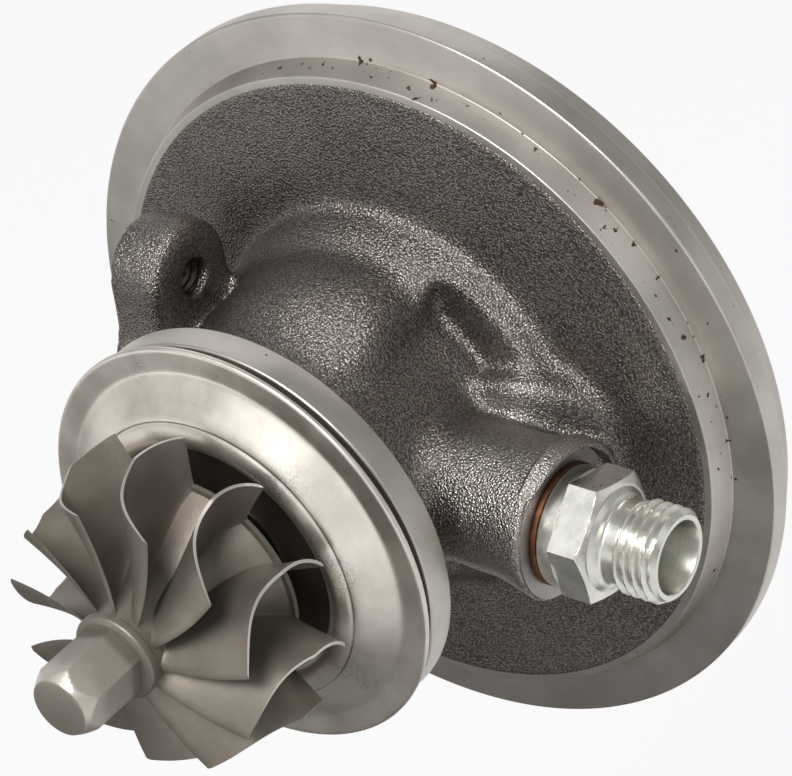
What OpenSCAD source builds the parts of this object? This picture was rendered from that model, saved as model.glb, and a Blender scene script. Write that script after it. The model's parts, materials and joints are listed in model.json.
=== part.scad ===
// Turbo cartridge: the centre section of a small exhaust turbocharger.
// A cast bearing housing carries a turbine wheel, a shaft and a compressor wheel on floating bushes.
// The rotor axis lies along Y, with the turbine towards -Y and the compressor towards +Y.
// Oil comes in through the adapter on +X and leaves through the flange on -X.
// The origin is on the rotor axis, at the shoulder where the compressor cover seats.

/* [Backplate] */
// Diameter of the backplate rim
rim_d = 121; // [114:0.5:130]
// Thickness of the rim between its two machined faces
rim_t = 3.5; // [2.6:0.1:6]
// Radial step from the rim down to the compressor pilot
pilot_step = 2.5; // [1:0.1:4]
// Length of the compressor pilot behind the rim
pilot_len = 4.7; // [4:0.1:7]
// Width of the machined ring face on the turbine side
ring_w = 6.8; // [4:0.1:9]
// Height of the cast web above the ring face
web_rise = 3.5; // [2.6:0.1:6]
// Chamfer on the machined edges
edge_chamfer = 0.4; // [0.2:0.05:0.8]

/* [Bearing housing] */
// Length from the compressor shoulder to the front of the turbine flange
body_len = 47.8; // [46:0.2:56]
// Diameter of the turbine flange
turbine_flange_d = 63.6; // [58:0.2:68]
// Thickness of the turbine flange
turbine_flange_t = 5.2; // [3:0.1:8]
// Height of the land that the heat shield sits on
land_h = 0.8; // [0.4:0.1:1.6]
// Radial step from the turbine flange down to that land
land_step = 1.3; // [0.8:0.1:3]
// Diameter of the drum that rises from the web
drum_d = 63; // [56:0.5:70]
// Height of the drum above the web
drum_h = 9.5; // [6:0.5:14]
// Diameter of the neck behind the turbine flange
neck_d = 45; // [42:0.5:52]
// Diameter of the bearing carrier inside the oil cavity
carrier_d = 22; // [19:0.5:24]
// Outer diameter of the oil cavity
cavity_d = 34; // [29:0.5:37]

/* [Oil feed] */
// Distance of the feed axis from the compressor shoulder
feed_pos = 25; // [22:0.5:28]
// Distance from the rotor axis to the machined feed face
feed_reach = 39.3; // [36:0.1:42]
// Diameter of the feed boss at its face
feed_boss_d = 23.6; // [23:0.2:28]
// Diameter of the machined spot face on the boss
feed_spot_d = 22.4; // [20:0.2:22.4]
// Diameter of the pad that carries the feed boss on the web
feed_pad_d = 27.5; // [24:0.5:32]
// Thread diameter of the adapter's stud in the housing
stud_d = 12; // [9:0.5:13]
// Length of the adapter's stud
stud_len = 10.5; // [7:0.5:12]
// Thickness of the copper washer
washer_t = 0.9; // [0.6:0.1:2]
// Outer diameter of the copper washer
washer_d = 18.6; // [17.6:0.2:20]
// Diameter of the adapter's round collar
collar_d = 18.2; // [16:0.2:19]
// Length of the collar
collar_len = 2.5; // [1:0.1:4]
// Width of the adapter hexagon across its flats
hex_af = 17; // [16:0.5:22]
// Length of the hexagon
hex_len = 5.2; // [4:0.1:10]
// Diameter of the adapter's neck
adapter_neck_d = 12; // [11:0.1:12.6]
// Length of the neck
adapter_neck_len = 3.1; // [2:0.1:6]
// Outer thread diameter for the feed pipe nut
feed_thread_d = 14; // [13:0.5:18]
// Length of that thread
feed_thread_len = 7; // [5:0.1:14]
// Diameter of the conical seat at the mouth
mouth_d = 10.8; // [9:0.1:11.4]
// Diameter of the oil bore
oil_bore_d = 6; // [4:0.2:7]

/* [Oil drain] */
// Distance of the drain axis from the compressor shoulder
drain_pos = 21.5; // [20:0.5:26]
// Distance from the rotor axis to the drain flange face
drain_reach = 35; // [34:0.1:42]
// Thickness of the drain flange
drain_flange_t = 9.8; // [6:0.1:13]
// Diameter of the drain bore
drain_bore_d = 16; // [12:0.5:20]
// Distance between the two flange bolt holes
drain_bolt_gap = 44; // [38:0.5:50]
// Diameter of the tapped bolt holes
drain_bolt_d = 5; // [4:0.2:8]
// Diameter of the flange ears
drain_ear_d = 18; // [14:0.5:22]
// Diameter of the flange around the drain bore
drain_hub_d = 31; // [26:0.5:34]

/* [Heat shield] */
// Sheet thickness of the heat shield
shield_t = 1; // [0.6:0.1:1.4]
// Diameter of the raised wall of the shield
shield_wall_d = 62; // [58:0.2:64]
// Width of the flat lip around the raised wall
shield_lip_w = 2; // [1:0.1:3]
// Height of the raised annulus above the land
shield_h = 5.8; // [5:0.1:7]
// Diameter of the pressed step line
shield_step_d = 48.6; // [46:0.2:52]
// Diameter of the hole for the shaft
shield_hole_d = 18.4; // [17.4:0.2:22]

/* [Rotor shaft] */
// Diameter of the bearing journals
journal_d = 8; // [6.5:0.1:9]
// Diameter of the thin end under the compressor wheel
stub_d = 6; // [4.5:0.1:6.4]
// Diameter of the seal boss next to the turbine wheel
boss_d = 16; // [14:0.1:17]
// Gap between the seal boss and its housing bore
boss_gap = 0.3; // [0.2:0.05:0.5]
// Width of both piston seal rings
ring_t = 1.4; // [1:0.1:1.8]
// Radial depth of both piston seal rings
ring_depth = 1.3; // [1:0.1:1.6]
// Axial and radial clearance of a seal ring in its groove
ring_gap = 0.15; // [0.1:0.05:0.3]
// Width of the split in a seal ring
split_w = 0.4; // [0.2:0.1:1]

/* [Turbine wheel] */
// Number of turbine blades
turbine_blades = 11; // [9:1:13]
// Diameter over the inducer tips
turbine_d = 47.8; // [42:0.2:52]
// Diameter over the exducer corners
exducer_d = 42; // [36:0.2:44]
// Gap from the heat shield's annulus to the blades
shield_gap = 2.6; // [1:0.1:4]
// Axial width of the inducer tips
inducer_w = 6.8; // [4:0.1:9]
// Axial length of the blades from the back edge to the exducer corners
turbine_len = 17.2; // [14:0.2:20]
// Diameter of the hub disc at the back
hub_disc_d = 31.4; // [26:0.2:34]
// Diameter of the rounded collar at the end of the hub
nose_collar_d = 13.2; // [12.4:0.1:15]
// Width of the hexagon nose across its flats
nose_af = 9.8; // [8:0.1:10.6]
// Length of the hexagon nose
nose_len = 11; // [6:0.2:14]
// Blade thickness at the ground tips
blade_tip_t = 0.7; // [0.5:0.05:1]
// Blade thickness at the roots
blade_root_t = 1.7; // [1.2:0.1:2.2]

/* [Compressor wheel] */
// Number of full compressor blades, with one splitter after each
compressor_blades = 6; // [5:1:7]
// Diameter over the compressor blades
compressor_d = 51; // [44:0.2:54]
// Diameter over the inducer
inducer_d = 37; // [32:0.2:40]
// Length of the compressor wheel's hub
compressor_len = 24; // [20:0.2:28]
// Gap from the backplate to the compressor wheel
backplate_gap = 0.8; // [0.4:0.1:1.5]
// Width of the blades at the outer edge
exit_w = 3.6; // [2.5:0.1:5]
// Width of the shaft nut across its flats
nut_af = 10; // [9:0.5:12]
// Height of the shaft nut
nut_h = 5.5; // [4:0.1:7]

/* [Journal bearings] */
// Length of a floating bush
bush_len = 8; // [6:0.2:8.8]
// Outer diameter of a floating bush
bush_d = 13; // [12:0.1:14]
// Radial running gap of a bush, inside and outside
bush_gap = 0.05; // [0.02:0.01:0.09]
// Number of oil holes around a bush
bush_holes = 6; // [4:1:8]
// Thickness of a retaining clip
clip_t = 1; // [0.8:0.1:1.2]
// Depth of a clip groove in the bore
clip_depth = 0.8; // [0.5:0.1:1.1]
// Axial gap between a bush and its clips
clip_gap = 0.3; // [0.2:0.05:0.5]

/* [Thrust bearing] */
// Diameter of the thrust bearing plate
thrust_d = 34; // [30:0.2:36]
// Thickness of the thrust bearing plate
thrust_t = 3.6; // [3:0.1:4.4]
// Axial play between the plate and each thrust washer
thrust_play = 0.1; // [0.05:0.01:0.2]
// Outer diameter of the thrust spacer
spacer_d = 10; // [9.4:0.1:11]
// Outer diameter of the inner thrust washer
inner_washer_d = 18; // [16:0.2:20]
// Thickness of the inner thrust washer
inner_washer_t = 2; // [1.4:0.1:2.6]
// Outer diameter of the outer thrust washer
outer_washer_d = 17; // [15.6:0.2:19]
// Thickness of the outer thrust washer
outer_washer_t = 1.6; // [1.2:0.1:1.8]
// Diameter of the thrust bearing's two dowel pins
dowel_d = 2.5; // [2:0.1:3]

/* [Seal plate] */
// Diameter of the seal plate's flange
plate_d = 55; // [53:0.2:60]
// Thickness of the seal plate's flange
plate_t = 2.9; // [2.6:0.1:3.4]
// Diameter of the spigot that fits into the housing
spigot_d = 39; // [37:0.2:40]
// Length of that spigot
spigot_len = 3.1; // [2.9:0.1:4]
// Thickness of the oil deflector sheet
deflector_t = 0.6; // [0.4:0.1:0.8]
// Diameter of the oil slinger sleeve in the plate
slinger_d = 14; // [12.6:0.1:15]
// Diameter of the slinger's flinging rim
slinger_rim_d = 18.6; // [17:0.2:20]
// Section of the sealing ring around the spigot
o_ring_w = 1.8; // [1.4:0.1:2]
// Thread diameter of the plate screws
screw_d = 4; // [3:0.5:4]
// Depth of the screws in the housing
screw_depth = 6; // [4:0.5:6.5]
// Number of plate screws
screw_count = 3; // [3:1:6]

/* [Hidden] */
$fn = 96;
// Overshoot of a cut past a face
cut = 1;
// Radial clearance of a located fit between a piece and its recess
seat_gap = 0.05;

rim_r = rim_d / 2;
pilot_r = rim_r - pilot_step;
foot_r = rim_r - ring_w;
foot_chamfer = 0.9;
web_draft = 0.4;
web_r = foot_r - foot_chamfer - web_draft;
web_round = 1.2;
flange_r = turbine_flange_d / 2;
land_r = flange_r - land_step;
drum_r = drum_d / 2;
neck_r = neck_d / 2;
boss_r = boss_d / 2;
boss_bore_r = boss_r + boss_gap;
journal_r = journal_d / 2;
stub_r = stub_d / 2;
bush_bore_r = bush_d / 2 + bush_gap;
groove_r = bush_bore_r + clip_depth;

// Stations along the rotor axis, measured from the compressor shoulder towards the turbine
z_rear = -pilot_len;
z_web = rim_t + web_rise;
z_drum = z_web + drum_h;
z_flange_back = body_len - turbine_flange_t;
z_land = body_len + land_h;
z_plate_seat = z_rear + plate_t;
z_deflector = z_plate_seat + spigot_len;
z_thrust = z_deflector + deflector_t;
z_thrust_seat = z_thrust + thrust_t;
z_spacer = z_thrust - thrust_play;
z_inner_washer = z_thrust_seat + thrust_play;
z_shoulder = z_inner_washer + inner_washer_t;
z_outer_washer = z_spacer - outer_washer_t;
washer_room = 0.8;
z_thrust_room = z_shoulder + washer_room;

// Each bush sits between two clips, a short wall away from the next recess
clip_wall = 0.8;
z_comp_outer_clip = z_thrust_room + clip_wall;
z_comp_bush = z_comp_outer_clip + clip_t + clip_gap;
z_comp_inner_clip = z_comp_bush + bush_len + clip_gap;
seal_bore_len = ring_t + 2;
z_seal_bore = z_land - seal_bore_len;
drain_groove_len = 2.2;
z_drain_groove = z_seal_bore - drain_groove_len;
z_turb_outer_clip = z_drain_groove - clip_wall - clip_t;
z_turb_bush = z_turb_outer_clip - clip_gap - bush_len;
z_turb_inner_clip = z_turb_bush - clip_gap - clip_t;
z_turb_ring = z_seal_bore + (seal_bore_len - ring_t) / 2;
boss_lead = 0.8;
z_boss = z_seal_bore - boss_lead;

// Turbine wheel stations
z_blade_back = z_land + shield_h + shield_gap;
z_inducer = z_blade_back + inducer_w;
z_exducer = z_blade_back + turbine_len;
blade_rake = 1.5;
z_blade_end = z_exducer + blade_rake;
hub_margin = 0.5;
z_hub_end = z_blade_end + hub_margin;
nose_collar_len = 2.4;
z_nose = z_hub_end + nose_collar_len;
z_tip = z_nose + nose_len;
hub_back_t = 0.6;
z_hub_back = z_blade_back - hub_back_t;
weld_step = 4.4;
z_weld = z_hub_back - weld_step;

// Compressor wheel stations
z_wheel_back = z_rear - backplate_gap;
z_wheel_nose = z_wheel_back - compressor_len;
z_nut_end = z_wheel_nose - nut_h;
thread_stand = 2;
z_shaft_end = z_nut_end - thread_stand;
slinger_bore_r = slinger_d / 2 + boss_gap;
comp_ring_inset = 1;
z_comp_ring = z_rear + comp_ring_inset;

// Points along an arc in a profile
function arc(centre, r, from, to, steps = 8) =
    [for (i = [0 : steps]) centre + r * [cos(from + (to - from) * i / steps), sin(from + (to - from) * i / steps)]];

function mix(a, b, t) = a + (b - a) * t;

// A point at a radius, an angle and a station
function polar(r, a, z) = [r * cos(a), r * sin(a), z];

// Lays the modelling axis along -Y, so that the turbine points there and the modelling y points up
module on_axis() {
    rotate([90, 0, 0]) children();
}

// Points a piece outwards along +X at a station
module towards_feed(z) {
    translate([0, 0, z]) rotate([0, 90, 0]) children();
}

// Points a piece outwards along -X at a station
module towards_drain(z) {
    translate([0, 0, z]) rotate([0, -90, 0]) children();
}

// A plain ring between two stations
module ring(r_in, r_out, z0, z1) {
    difference() {
        translate([0, 0, z0]) cylinder(r = r_out, h = z1 - z0);
        translate([0, 0, z0 - cut]) cylinder(r = r_in, h = z1 - z0 + 2 * cut);
    }
}

// A disc from one station to another
module disc(r, z0, z1) {
    translate([0, 0, z0]) cylinder(r = r, h = z1 - z0);
}

// A straight drilling between two points in the plane of the feed axis
module drilling(r, x0, z0, x1, z1) {
    length = norm([x1 - x0, z1 - z0]);
    translate([x0, 0, z0]) rotate([0, atan2(x1 - x0, z1 - z0), 0]) cylinder(r = r, h = length);
}

// Bearing housing

drum_round = 5;
drum_fillet = 3;
neck_fillet = 4;
web_cone = 1.2;
housing_profile = concat(
    [[0, z_rear], [pilot_r - edge_chamfer, z_rear], [pilot_r, z_rear + edge_chamfer], [pilot_r, 0]],
    [[rim_r - edge_chamfer, 0], [rim_r, edge_chamfer], [rim_r, rim_t - edge_chamfer]],
    [[rim_r - edge_chamfer, rim_t], [foot_r, rim_t], [foot_r - foot_chamfer, rim_t + foot_chamfer]],
    arc([web_r - web_round, z_web - web_round], web_round, 0, 90, 4),
    arc([drum_r + drum_fillet, z_web + web_cone + drum_fillet], drum_fillet, 270, 180, 5),
    arc([drum_r - drum_round, z_drum - drum_round], drum_round, 0, 75, 6),
    [[neck_r, z_drum + drum_round]],
    arc([neck_r + neck_fillet, z_flange_back - neck_fillet], neck_fillet, 180, 90, 5),
    [[flange_r - edge_chamfer, z_flange_back], [flange_r, z_flange_back + edge_chamfer]],
    [[flange_r, body_len - edge_chamfer], [flange_r - edge_chamfer, body_len]],
    [[land_r, body_len], [land_r, z_land], [0, z_land]]
);

// The wider half of the neck, on the drain side, that holds the oil cavity
hump_r = 28.3;
hump_len = 7;
hump_taper = 11;
hump_sink = 1.5;
hump_side = 12;
module cavity_hump() {
    z_hump = z_drum + hump_len;
    intersection() {
        rotate_extrude() polygon([
            [0, rim_t], [hump_r, rim_t], [hump_r, z_hump],
            [neck_r - hump_sink, z_hump + hump_taper], [0, z_hump + hump_taper]
        ]);
        translate([-rim_d, -rim_d, 0]) cube([rim_d + hump_side, 2 * rim_d, body_len]);
    }
}

// The boss that carries the feed adapter, drawn outwards from the rotor axis
feed_root_r = 8.8;
feed_rim_round = 0.5;
module feed_boss() {
    face_r = feed_boss_d / 2;
    towards_feed(feed_pos) rotate_extrude() polygon(concat(
        [[0, 0], [feed_root_r, 0], [feed_root_r, cavity_d / 2]],
        arc([face_r - feed_rim_round, feed_reach - feed_rim_round], feed_rim_round, 0, 90, 5),
        [[feed_spot_d / 2, feed_reach], [0, feed_reach]]
    ));
}

// The round pad under the boss, with a top that falls away outwards, and the prop between both
pad_h = 9.3;
pad_crest = 12.3;
pad_fall = 0.72;
prop_w = 11;
prop_inset = 2.8;
module feed_pad() {
    pad_r = feed_pad_d / 2;
    x_crest = feed_reach - pad_crest;
    z_pad = z_web + pad_h;
    z_end = z_pad - pad_fall * 2 * pad_r;
    intersection() {
        translate([feed_reach - pad_r, 0, rim_t]) cylinder(r = pad_r, h = feed_pos - rim_t);
        upright(4 * pad_r) polygon([[0, 0], [x_crest + 2 * pad_r, 0], [x_crest + 2 * pad_r, z_end], [x_crest, z_pad], [0, z_pad]]);
    }
    x_prop = feed_reach - prop_inset;
    upright(prop_w) polygon([[neck_r / 2, rim_t], [x_prop, rim_t], [x_prop, feed_pos - feed_root_r], [neck_r / 2, feed_pos - feed_root_r]]);
}

// Draws an outline of (x, station) points as a plate of a given thickness around the plane of the feed
module upright(thickness) {
    translate([0, thickness / 2, 0]) rotate([90, 0, 0]) linear_extrude(thickness) children();
}

// The cast pocket between the shoulder of the drum and the feed boss
pocket_mid_r = 26.3;
pocket_round = 4;
pocket_start = 24;
pocket_sweep = 37;
pocket_rise = 1.1;
module drum_pocket() {
    rotate([0, 0, pocket_start]) rotate_extrude(angle = pocket_sweep)
        translate([pocket_mid_r, z_drum + pocket_rise]) circle(r = pocket_round);
}

// The flange that the oil return pipe bolts to: a round hub that runs tangent into an ear at each end
module drain_outline() {
    hub_r = drain_hub_d / 2;
    ear_r = drain_ear_d / 2;
    ear_y = drain_bolt_gap / 2;
    lean = asin((hub_r - ear_r) / ear_y);
    polygon(concat(
        arc([0, 0], hub_r, -lean, lean, 4),
        arc([0, ear_y], ear_r, lean, 180 - lean, 12),
        arc([0, 0], hub_r, 180 - lean, 180 + lean, 4),
        arc([0, -ear_y], ear_r, 180 + lean, 360 - lean, 12)
    ));
}

drain_stem_inset = 1.2;
module drain_boss() {
    towards_drain(drain_pos) {
        cylinder(r = drain_hub_d / 2 - drain_stem_inset, h = drain_reach - drain_flange_t + cut);
        translate([0, 0, drain_reach - drain_flange_t]) linear_extrude(drain_flange_t) drain_outline();
    }
}

// The oil cavity wraps around the drain half of the bearing carrier
cavity_sweep = 210;
cavity_wall = 3.2;
z_cavity = z_web + cavity_wall;
z_cavity_end = z_drain_groove - cavity_wall;
window_w = 12;
window_inset = 1;
module oil_cavity() {
    rotate([0, 0, 180 - cavity_sweep / 2]) rotate_extrude(angle = cavity_sweep)
        translate([carrier_d / 2, z_cavity]) square([(cavity_d - carrier_d) / 2, z_cavity_end - z_cavity]);
    towards_drain(drain_pos) translate([0, 0, carrier_d / 2]) cylinder(d = drain_bore_d, h = drain_reach);
    // Windows that lead oil from both ends of the bearings into the cavity
    window_x = cavity_d / 2 - window_inset;
    translate([-window_x, -window_w / 2, z_cavity_end - cut])
        cube([window_x - bush_bore_r - clip_wall, window_w, z_seal_bore - z_cavity_end + cut]);
    translate([-window_x, -window_w / 2, z_thrust_seat])
        cube([window_x - bush_bore_r - clip_wall, window_w, z_cavity - z_thrust_seat + cut]);
}

gallery_r = 1.25;
feed_drill_r = 2;
z_clip_list = [z_turb_outer_clip, z_turb_inner_clip, z_comp_inner_clip, z_comp_outer_clip];
module bearing_bores() {
    disc(bush_bore_r, z_thrust_room - cut, z_drain_groove + cut);
    for (z = z_clip_list) disc(groove_r, z, z + clip_t);
    disc(carrier_d / 2, z_drain_groove, z_seal_bore);
    disc(boss_bore_r, z_seal_bore - cut, z_land + cut);
    disc(inner_washer_d / 2 + washer_room, z_thrust_seat - cut, z_thrust_room);
    disc(thrust_d / 2 + seat_gap, z_deflector, z_thrust_seat);
    disc(spigot_d / 2 + seat_gap, z_plate_seat, z_deflector);
    disc(plate_d / 2 + seat_gap, z_rear - cut, z_plate_seat);
}

gallery_x = carrier_d / 2;
module feed_drillings() {
    towards_feed(feed_pos) {
        translate([0, 0, feed_reach - stud_len - cut]) cylinder(d = stud_d, h = stud_len + 2 * cut);
        translate([0, 0, gallery_x]) cylinder(r = feed_drill_r, h = feed_reach - gallery_x);
    }
    for (z = [z_turb_bush + bush_len / 2, z_comp_bush + bush_len / 2])
        drilling(gallery_r, gallery_x + feed_drill_r, feed_pos, journal_r, z);
}

screw_ring_r = (spigot_d / 2 + plate_d / 2) / 2;
screw_start = 30;
module screw_places() {
    for (i = [0 : screw_count - 1]) rotate([0, 0, screw_start + i * 360 / screw_count])
        translate([screw_ring_r, 0, 0]) children();
}

dowel_ring_r = (thrust_d / 2 + inner_washer_d / 2 + washer_room) / 2;
dowel_depth = 2.5;
dowel_angle = 60;
module dowel_places() {
    for (side = [-1, 1]) rotate([0, 0, side * dowel_angle]) translate([dowel_ring_r, 0, 0]) children();
}

module bearing_housing() {
    color("dimgray") on_axis() difference() {
        union() {
            difference() {
                union() {
                    rotate_extrude() polygon(housing_profile);
                    cavity_hump();
                }
                drum_pocket();
            }
            feed_boss();
            feed_pad();
            drain_boss();
        }
        oil_cavity();
        bearing_bores();
        feed_drillings();
        towards_drain(drain_pos) for (side = [-1, 1]) translate([0, side * drain_bolt_gap / 2, 0])
            translate([0, 0, drain_reach - drain_flange_t - cut])
                cylinder(d = drain_bolt_d, h = drain_flange_t + 2 * cut);
        screw_places() disc(screw_d / 2, z_plate_seat - cut, z_plate_seat + screw_depth);
        dowel_places() disc(dowel_d / 2, z_thrust_seat - cut, z_thrust_seat + dowel_depth);
    }
}

// Heat shield

// The front line of the pressed sheet, from the lip inwards to the shaft hole
wall_r = shield_wall_d / 2;
lip_r = wall_r + shield_lip_w;
lip_round = 0.5;
wall_round = 1.6;
wall_lean = 1;
wall_inset = 1.6;
crest_round = 2.2;
annulus_fall = 0.3;
step_r = shield_step_d / 2;
step_w = 0.6;
step_drop = 0.5;
inner_ring_w = 3.4;
inner_ring_fall = 0.1;
bowl_round = 1.6;
bowl_depth = 3;
bowl_r = step_r - inner_ring_w;
floor_round = 0.8;
floor_rise = 0.6;
floor_fall = 0.4;
z_crest = z_land + shield_h;
z_step = z_crest - annulus_fall - step_drop;
shield_front = concat(
    [[lip_r, z_land]],
    arc([lip_r - lip_round, z_land + shield_t - lip_round], lip_round, 0, 90, 3),
    arc([wall_r + wall_round - wall_lean, z_land + shield_t + wall_round], wall_round, 270, 190, 4),
    arc([wall_r - wall_inset - crest_round, z_crest - crest_round], crest_round, 15, 90, 5),
    [[step_r + step_w, z_crest - annulus_fall], [step_r, z_step]],
    arc([bowl_r + bowl_round, z_step - inner_ring_fall - bowl_round], bowl_round, 90, 175, 4),
    arc([bowl_r - floor_round, z_crest - bowl_depth + floor_rise], floor_round, 0, -90, 3),
    [[shield_hole_d / 2, z_crest - bowl_depth - floor_fall]]
);

// The same line moved back by the sheet thickness, from the shaft hole out to the foot of the wall
function sheet_normal(line, i) =
    let (a = line[max(i - 1, 0)], b = line[min(i + 1, len(line) - 1)], d = (b - a) / norm(b - a)) [d.y, -d.x];
wall_foot = 9;
shield_back = [
    for (i = [len(shield_front) - 1 : -1 : wall_foot]) shield_front[i] - shield_t * sheet_normal(shield_front, i)
];

module heat_shield() {
    color("silver") on_axis() rotate_extrude() polygon(concat(
        shield_front, shield_back, [[shield_back[len(shield_back) - 1].x, z_land]]
    ));
}

// Feed adapter and its washer

x_washer = feed_reach + washer_t;
x_collar = x_washer + collar_len;
x_hex = x_collar + hex_len;
x_neck = x_hex + adapter_neck_len;
x_mouth = x_neck + feed_thread_len;
thread_chamfer = 0.8;
seat_angle = 12;
hex_turn = 44.7;
hex_foot = 0.6;
hex_bevel = 0.7;
hex_face_inset = 0.6;
hex_face_r = hex_af / 2 - hex_face_inset;
neck_foot_step = 0.4;
neck_foot_r = hex_face_r - neck_foot_step;
neck_foot_len = 1.3;
module feed_adapter() {
    hex_over = 0.2;
    hex_r = hex_af / 2 / cos(30);
    corner_r = hex_r + hex_over;
    neck_r = adapter_neck_d / 2;
    thread_r = feed_thread_d / 2;
    seat_len = (mouth_d - oil_bore_d) / 2 / tan(seat_angle);
    color("lightgray") on_axis() towards_feed(feed_pos) difference() {
        union() {
            disc(stud_d / 2, feed_reach - stud_len, x_washer + hex_foot);
            disc(collar_d / 2, x_washer, x_collar);
            intersection() {
                rotate([0, 0, hex_turn]) translate([0, 0, x_collar - hex_foot])
                    cylinder(r = hex_r, h = hex_len + hex_foot, $fn = 6);
                rotate_extrude() polygon([
                    [0, x_collar - hex_foot], [collar_d / 2 - hex_foot, x_collar - hex_foot], [corner_r, x_collar],
                    [corner_r, x_hex - hex_bevel], [hex_face_r, x_hex], [0, x_hex]
                ]);
            }
            rotate_extrude() polygon([
                [0, x_collar], [neck_foot_r, x_collar], [neck_foot_r, x_hex], [neck_r, x_hex + neck_foot_len],
                [neck_r, x_neck], [thread_r, x_neck + thread_chamfer], [thread_r, x_mouth - thread_chamfer],
                [thread_r - thread_chamfer, x_mouth], [0, x_mouth]
            ]);
        }
        disc(oil_bore_d / 2, feed_reach - stud_len - cut, x_mouth + cut);
        translate([0, 0, x_mouth - seat_len])
            cylinder(d1 = oil_bore_d, d2 = mouth_d + 2 * cut * tan(seat_angle), h = seat_len + cut);
    }
}

module feed_washer() {
    color("peru") on_axis() towards_feed(feed_pos) ring(stud_d / 2 + seat_gap, washer_d / 2, feed_reach, x_washer);
}

// Seal rings and bush clips

// A sprung ring with a split, between two stations
module split_ring(r_in, r_out, z0, z1, gap) {
    difference() {
        ring(r_in, r_out, z0, z1);
        translate([0, -gap / 2, z0 - cut]) cube([r_out + cut, gap, z1 - z0 + 2 * cut]);
    }
}

module turbine_seal_ring() {
    color("darkgray") on_axis()
        split_ring(boss_bore_r - ring_depth, boss_bore_r, z_turb_ring, z_turb_ring + ring_t, split_w);
}

module compressor_seal_ring() {
    color("darkgray") on_axis() rotate([0, 0, 180])
        split_ring(slinger_bore_r - ring_depth, slinger_bore_r, z_comp_ring, z_comp_ring + ring_t, split_w);
}

// An internal clip that springs into its groove in the bore
clip_stand = 0.9;
clip_in_r = bush_bore_r - clip_stand;
clip_split = 4;
module bush_clip(z) {
    color("slategray") on_axis() split_ring(clip_in_r, groove_r, z, z + clip_t, clip_split);
}

module turbine_bush_outer_clip() {
    bush_clip(z_turb_outer_clip);
}

module turbine_bush_inner_clip() {
    bush_clip(z_turb_inner_clip);
}

module compressor_bush_inner_clip() {
    bush_clip(z_comp_inner_clip);
}

module compressor_bush_outer_clip() {
    bush_clip(z_comp_outer_clip);
}

// Journal bearings

oil_hole_r = 0.9;
module floating_bush(z) {
    color("goldenrod") on_axis() difference() {
        ring(journal_r + bush_gap, bush_d / 2, z, z + bush_len);
        for (i = [0 : bush_holes - 1]) rotate([0, 0, i * 360 / bush_holes])
            translate([0, 0, z + bush_len / 2]) rotate([0, 90, 0]) cylinder(r = oil_hole_r, h = bush_d);
    }
}

module turbine_journal_bush() {
    floating_bush(z_turb_bush);
}

module compressor_journal_bush() {
    floating_bush(z_comp_bush);
}

// Thrust bearing and the pieces around it

drain_notch_w = 9;
pad_count = 4;
pad_start = 45;
module thrust_bearing() {
    spacer_gap = 0.3;
    groove_w = 1.4;
    groove_depth = 0.4;
    color("goldenrod") on_axis() difference() {
        disc(thrust_d / 2, z_thrust, z_thrust_seat);
        disc(spacer_d / 2 + spacer_gap, z_thrust - cut, z_thrust_seat + cut);
        // Notch that lets the oil fall to the drain
        translate([-thrust_d, -drain_notch_w / 2, z_thrust - cut])
            cube([thrust_d - inner_washer_d / 2 - washer_room, drain_notch_w, thrust_t + 2 * cut]);
        // Oil grooves between the thrust pads, on both faces
        for (i = [0 : pad_count - 1], z = [z_thrust - cut, z_thrust_seat - groove_depth])
            rotate([0, 0, pad_start + i * 360 / pad_count]) translate([spacer_d / 2, -groove_w / 2, z])
                cube([inner_washer_d / 2 - spacer_d / 2, groove_w, groove_depth + cut]);
        dowel_places() disc(dowel_d / 2, z_thrust - cut, z_thrust_seat + cut);
    }
}

module thrust_dowels() {
    color("darkgray") on_axis() dowel_places() disc(dowel_d / 2, z_thrust, z_thrust_seat + dowel_depth);
}

deflector_gap = 0.4;
deflector_hole_r = max(outer_washer_d, slinger_rim_d) / 2 + deflector_gap;
module oil_deflector() {
    // The tongue bends back into the plate's cavity and leads the oil down
    tongue_w = 10;
    tongue_gap = 1;
    tongue_len = spigot_len - tongue_gap;
    color("lightsteelblue") on_axis() difference() {
        union() {
            disc(thrust_d / 2, z_deflector, z_thrust);
            translate([-deflector_hole_r - deflector_t, -tongue_w / 2, z_deflector - tongue_len])
                cube([deflector_t, tongue_w, tongue_len + deflector_t]);
        }
        disc(deflector_hole_r, z_deflector - cut, z_thrust + cut);
    }
}

tongue_room = 1.6;
plate_cavity_r = deflector_hole_r + deflector_t + tongue_room;
o_ring_squeeze = 0.2;
o_ring_groove_r = spigot_d / 2 + seat_gap - o_ring_w + o_ring_squeeze;
z_o_ring = (z_plate_seat + z_deflector) / 2 - o_ring_w / 2;
csk_angle = 45;
screw_head_ratio = 0.95;
screw_head_r = screw_d * screw_head_ratio;
module seal_plate() {
    color("slategray") on_axis() difference() {
        union() {
            disc(plate_d / 2, z_rear, z_plate_seat);
            disc(spigot_d / 2, z_plate_seat - cut, z_deflector);
        }
        disc(slinger_bore_r, z_rear - cut, z_deflector + cut);
        disc(plate_cavity_r, z_plate_seat, z_deflector + cut);
        ring(o_ring_groove_r, spigot_d, z_o_ring, z_o_ring + o_ring_w);
        screw_places() {
            disc(screw_d / 2, z_rear - cut, z_plate_seat + cut);
            screw_cone(cut);
        }
    }
}

// The countersunk head, and a short way past the plate's face for the cut that it sits in
module screw_cone(over) {
    shank_r = screw_d / 2;
    head_h = (screw_head_r - shank_r) * tan(csk_angle);
    rotate_extrude() polygon([
        [0, z_rear - over], [screw_head_r, z_rear - over], [screw_head_r, z_rear],
        [shank_r, z_rear + head_h], [0, z_rear + head_h]
    ]);
}

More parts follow.
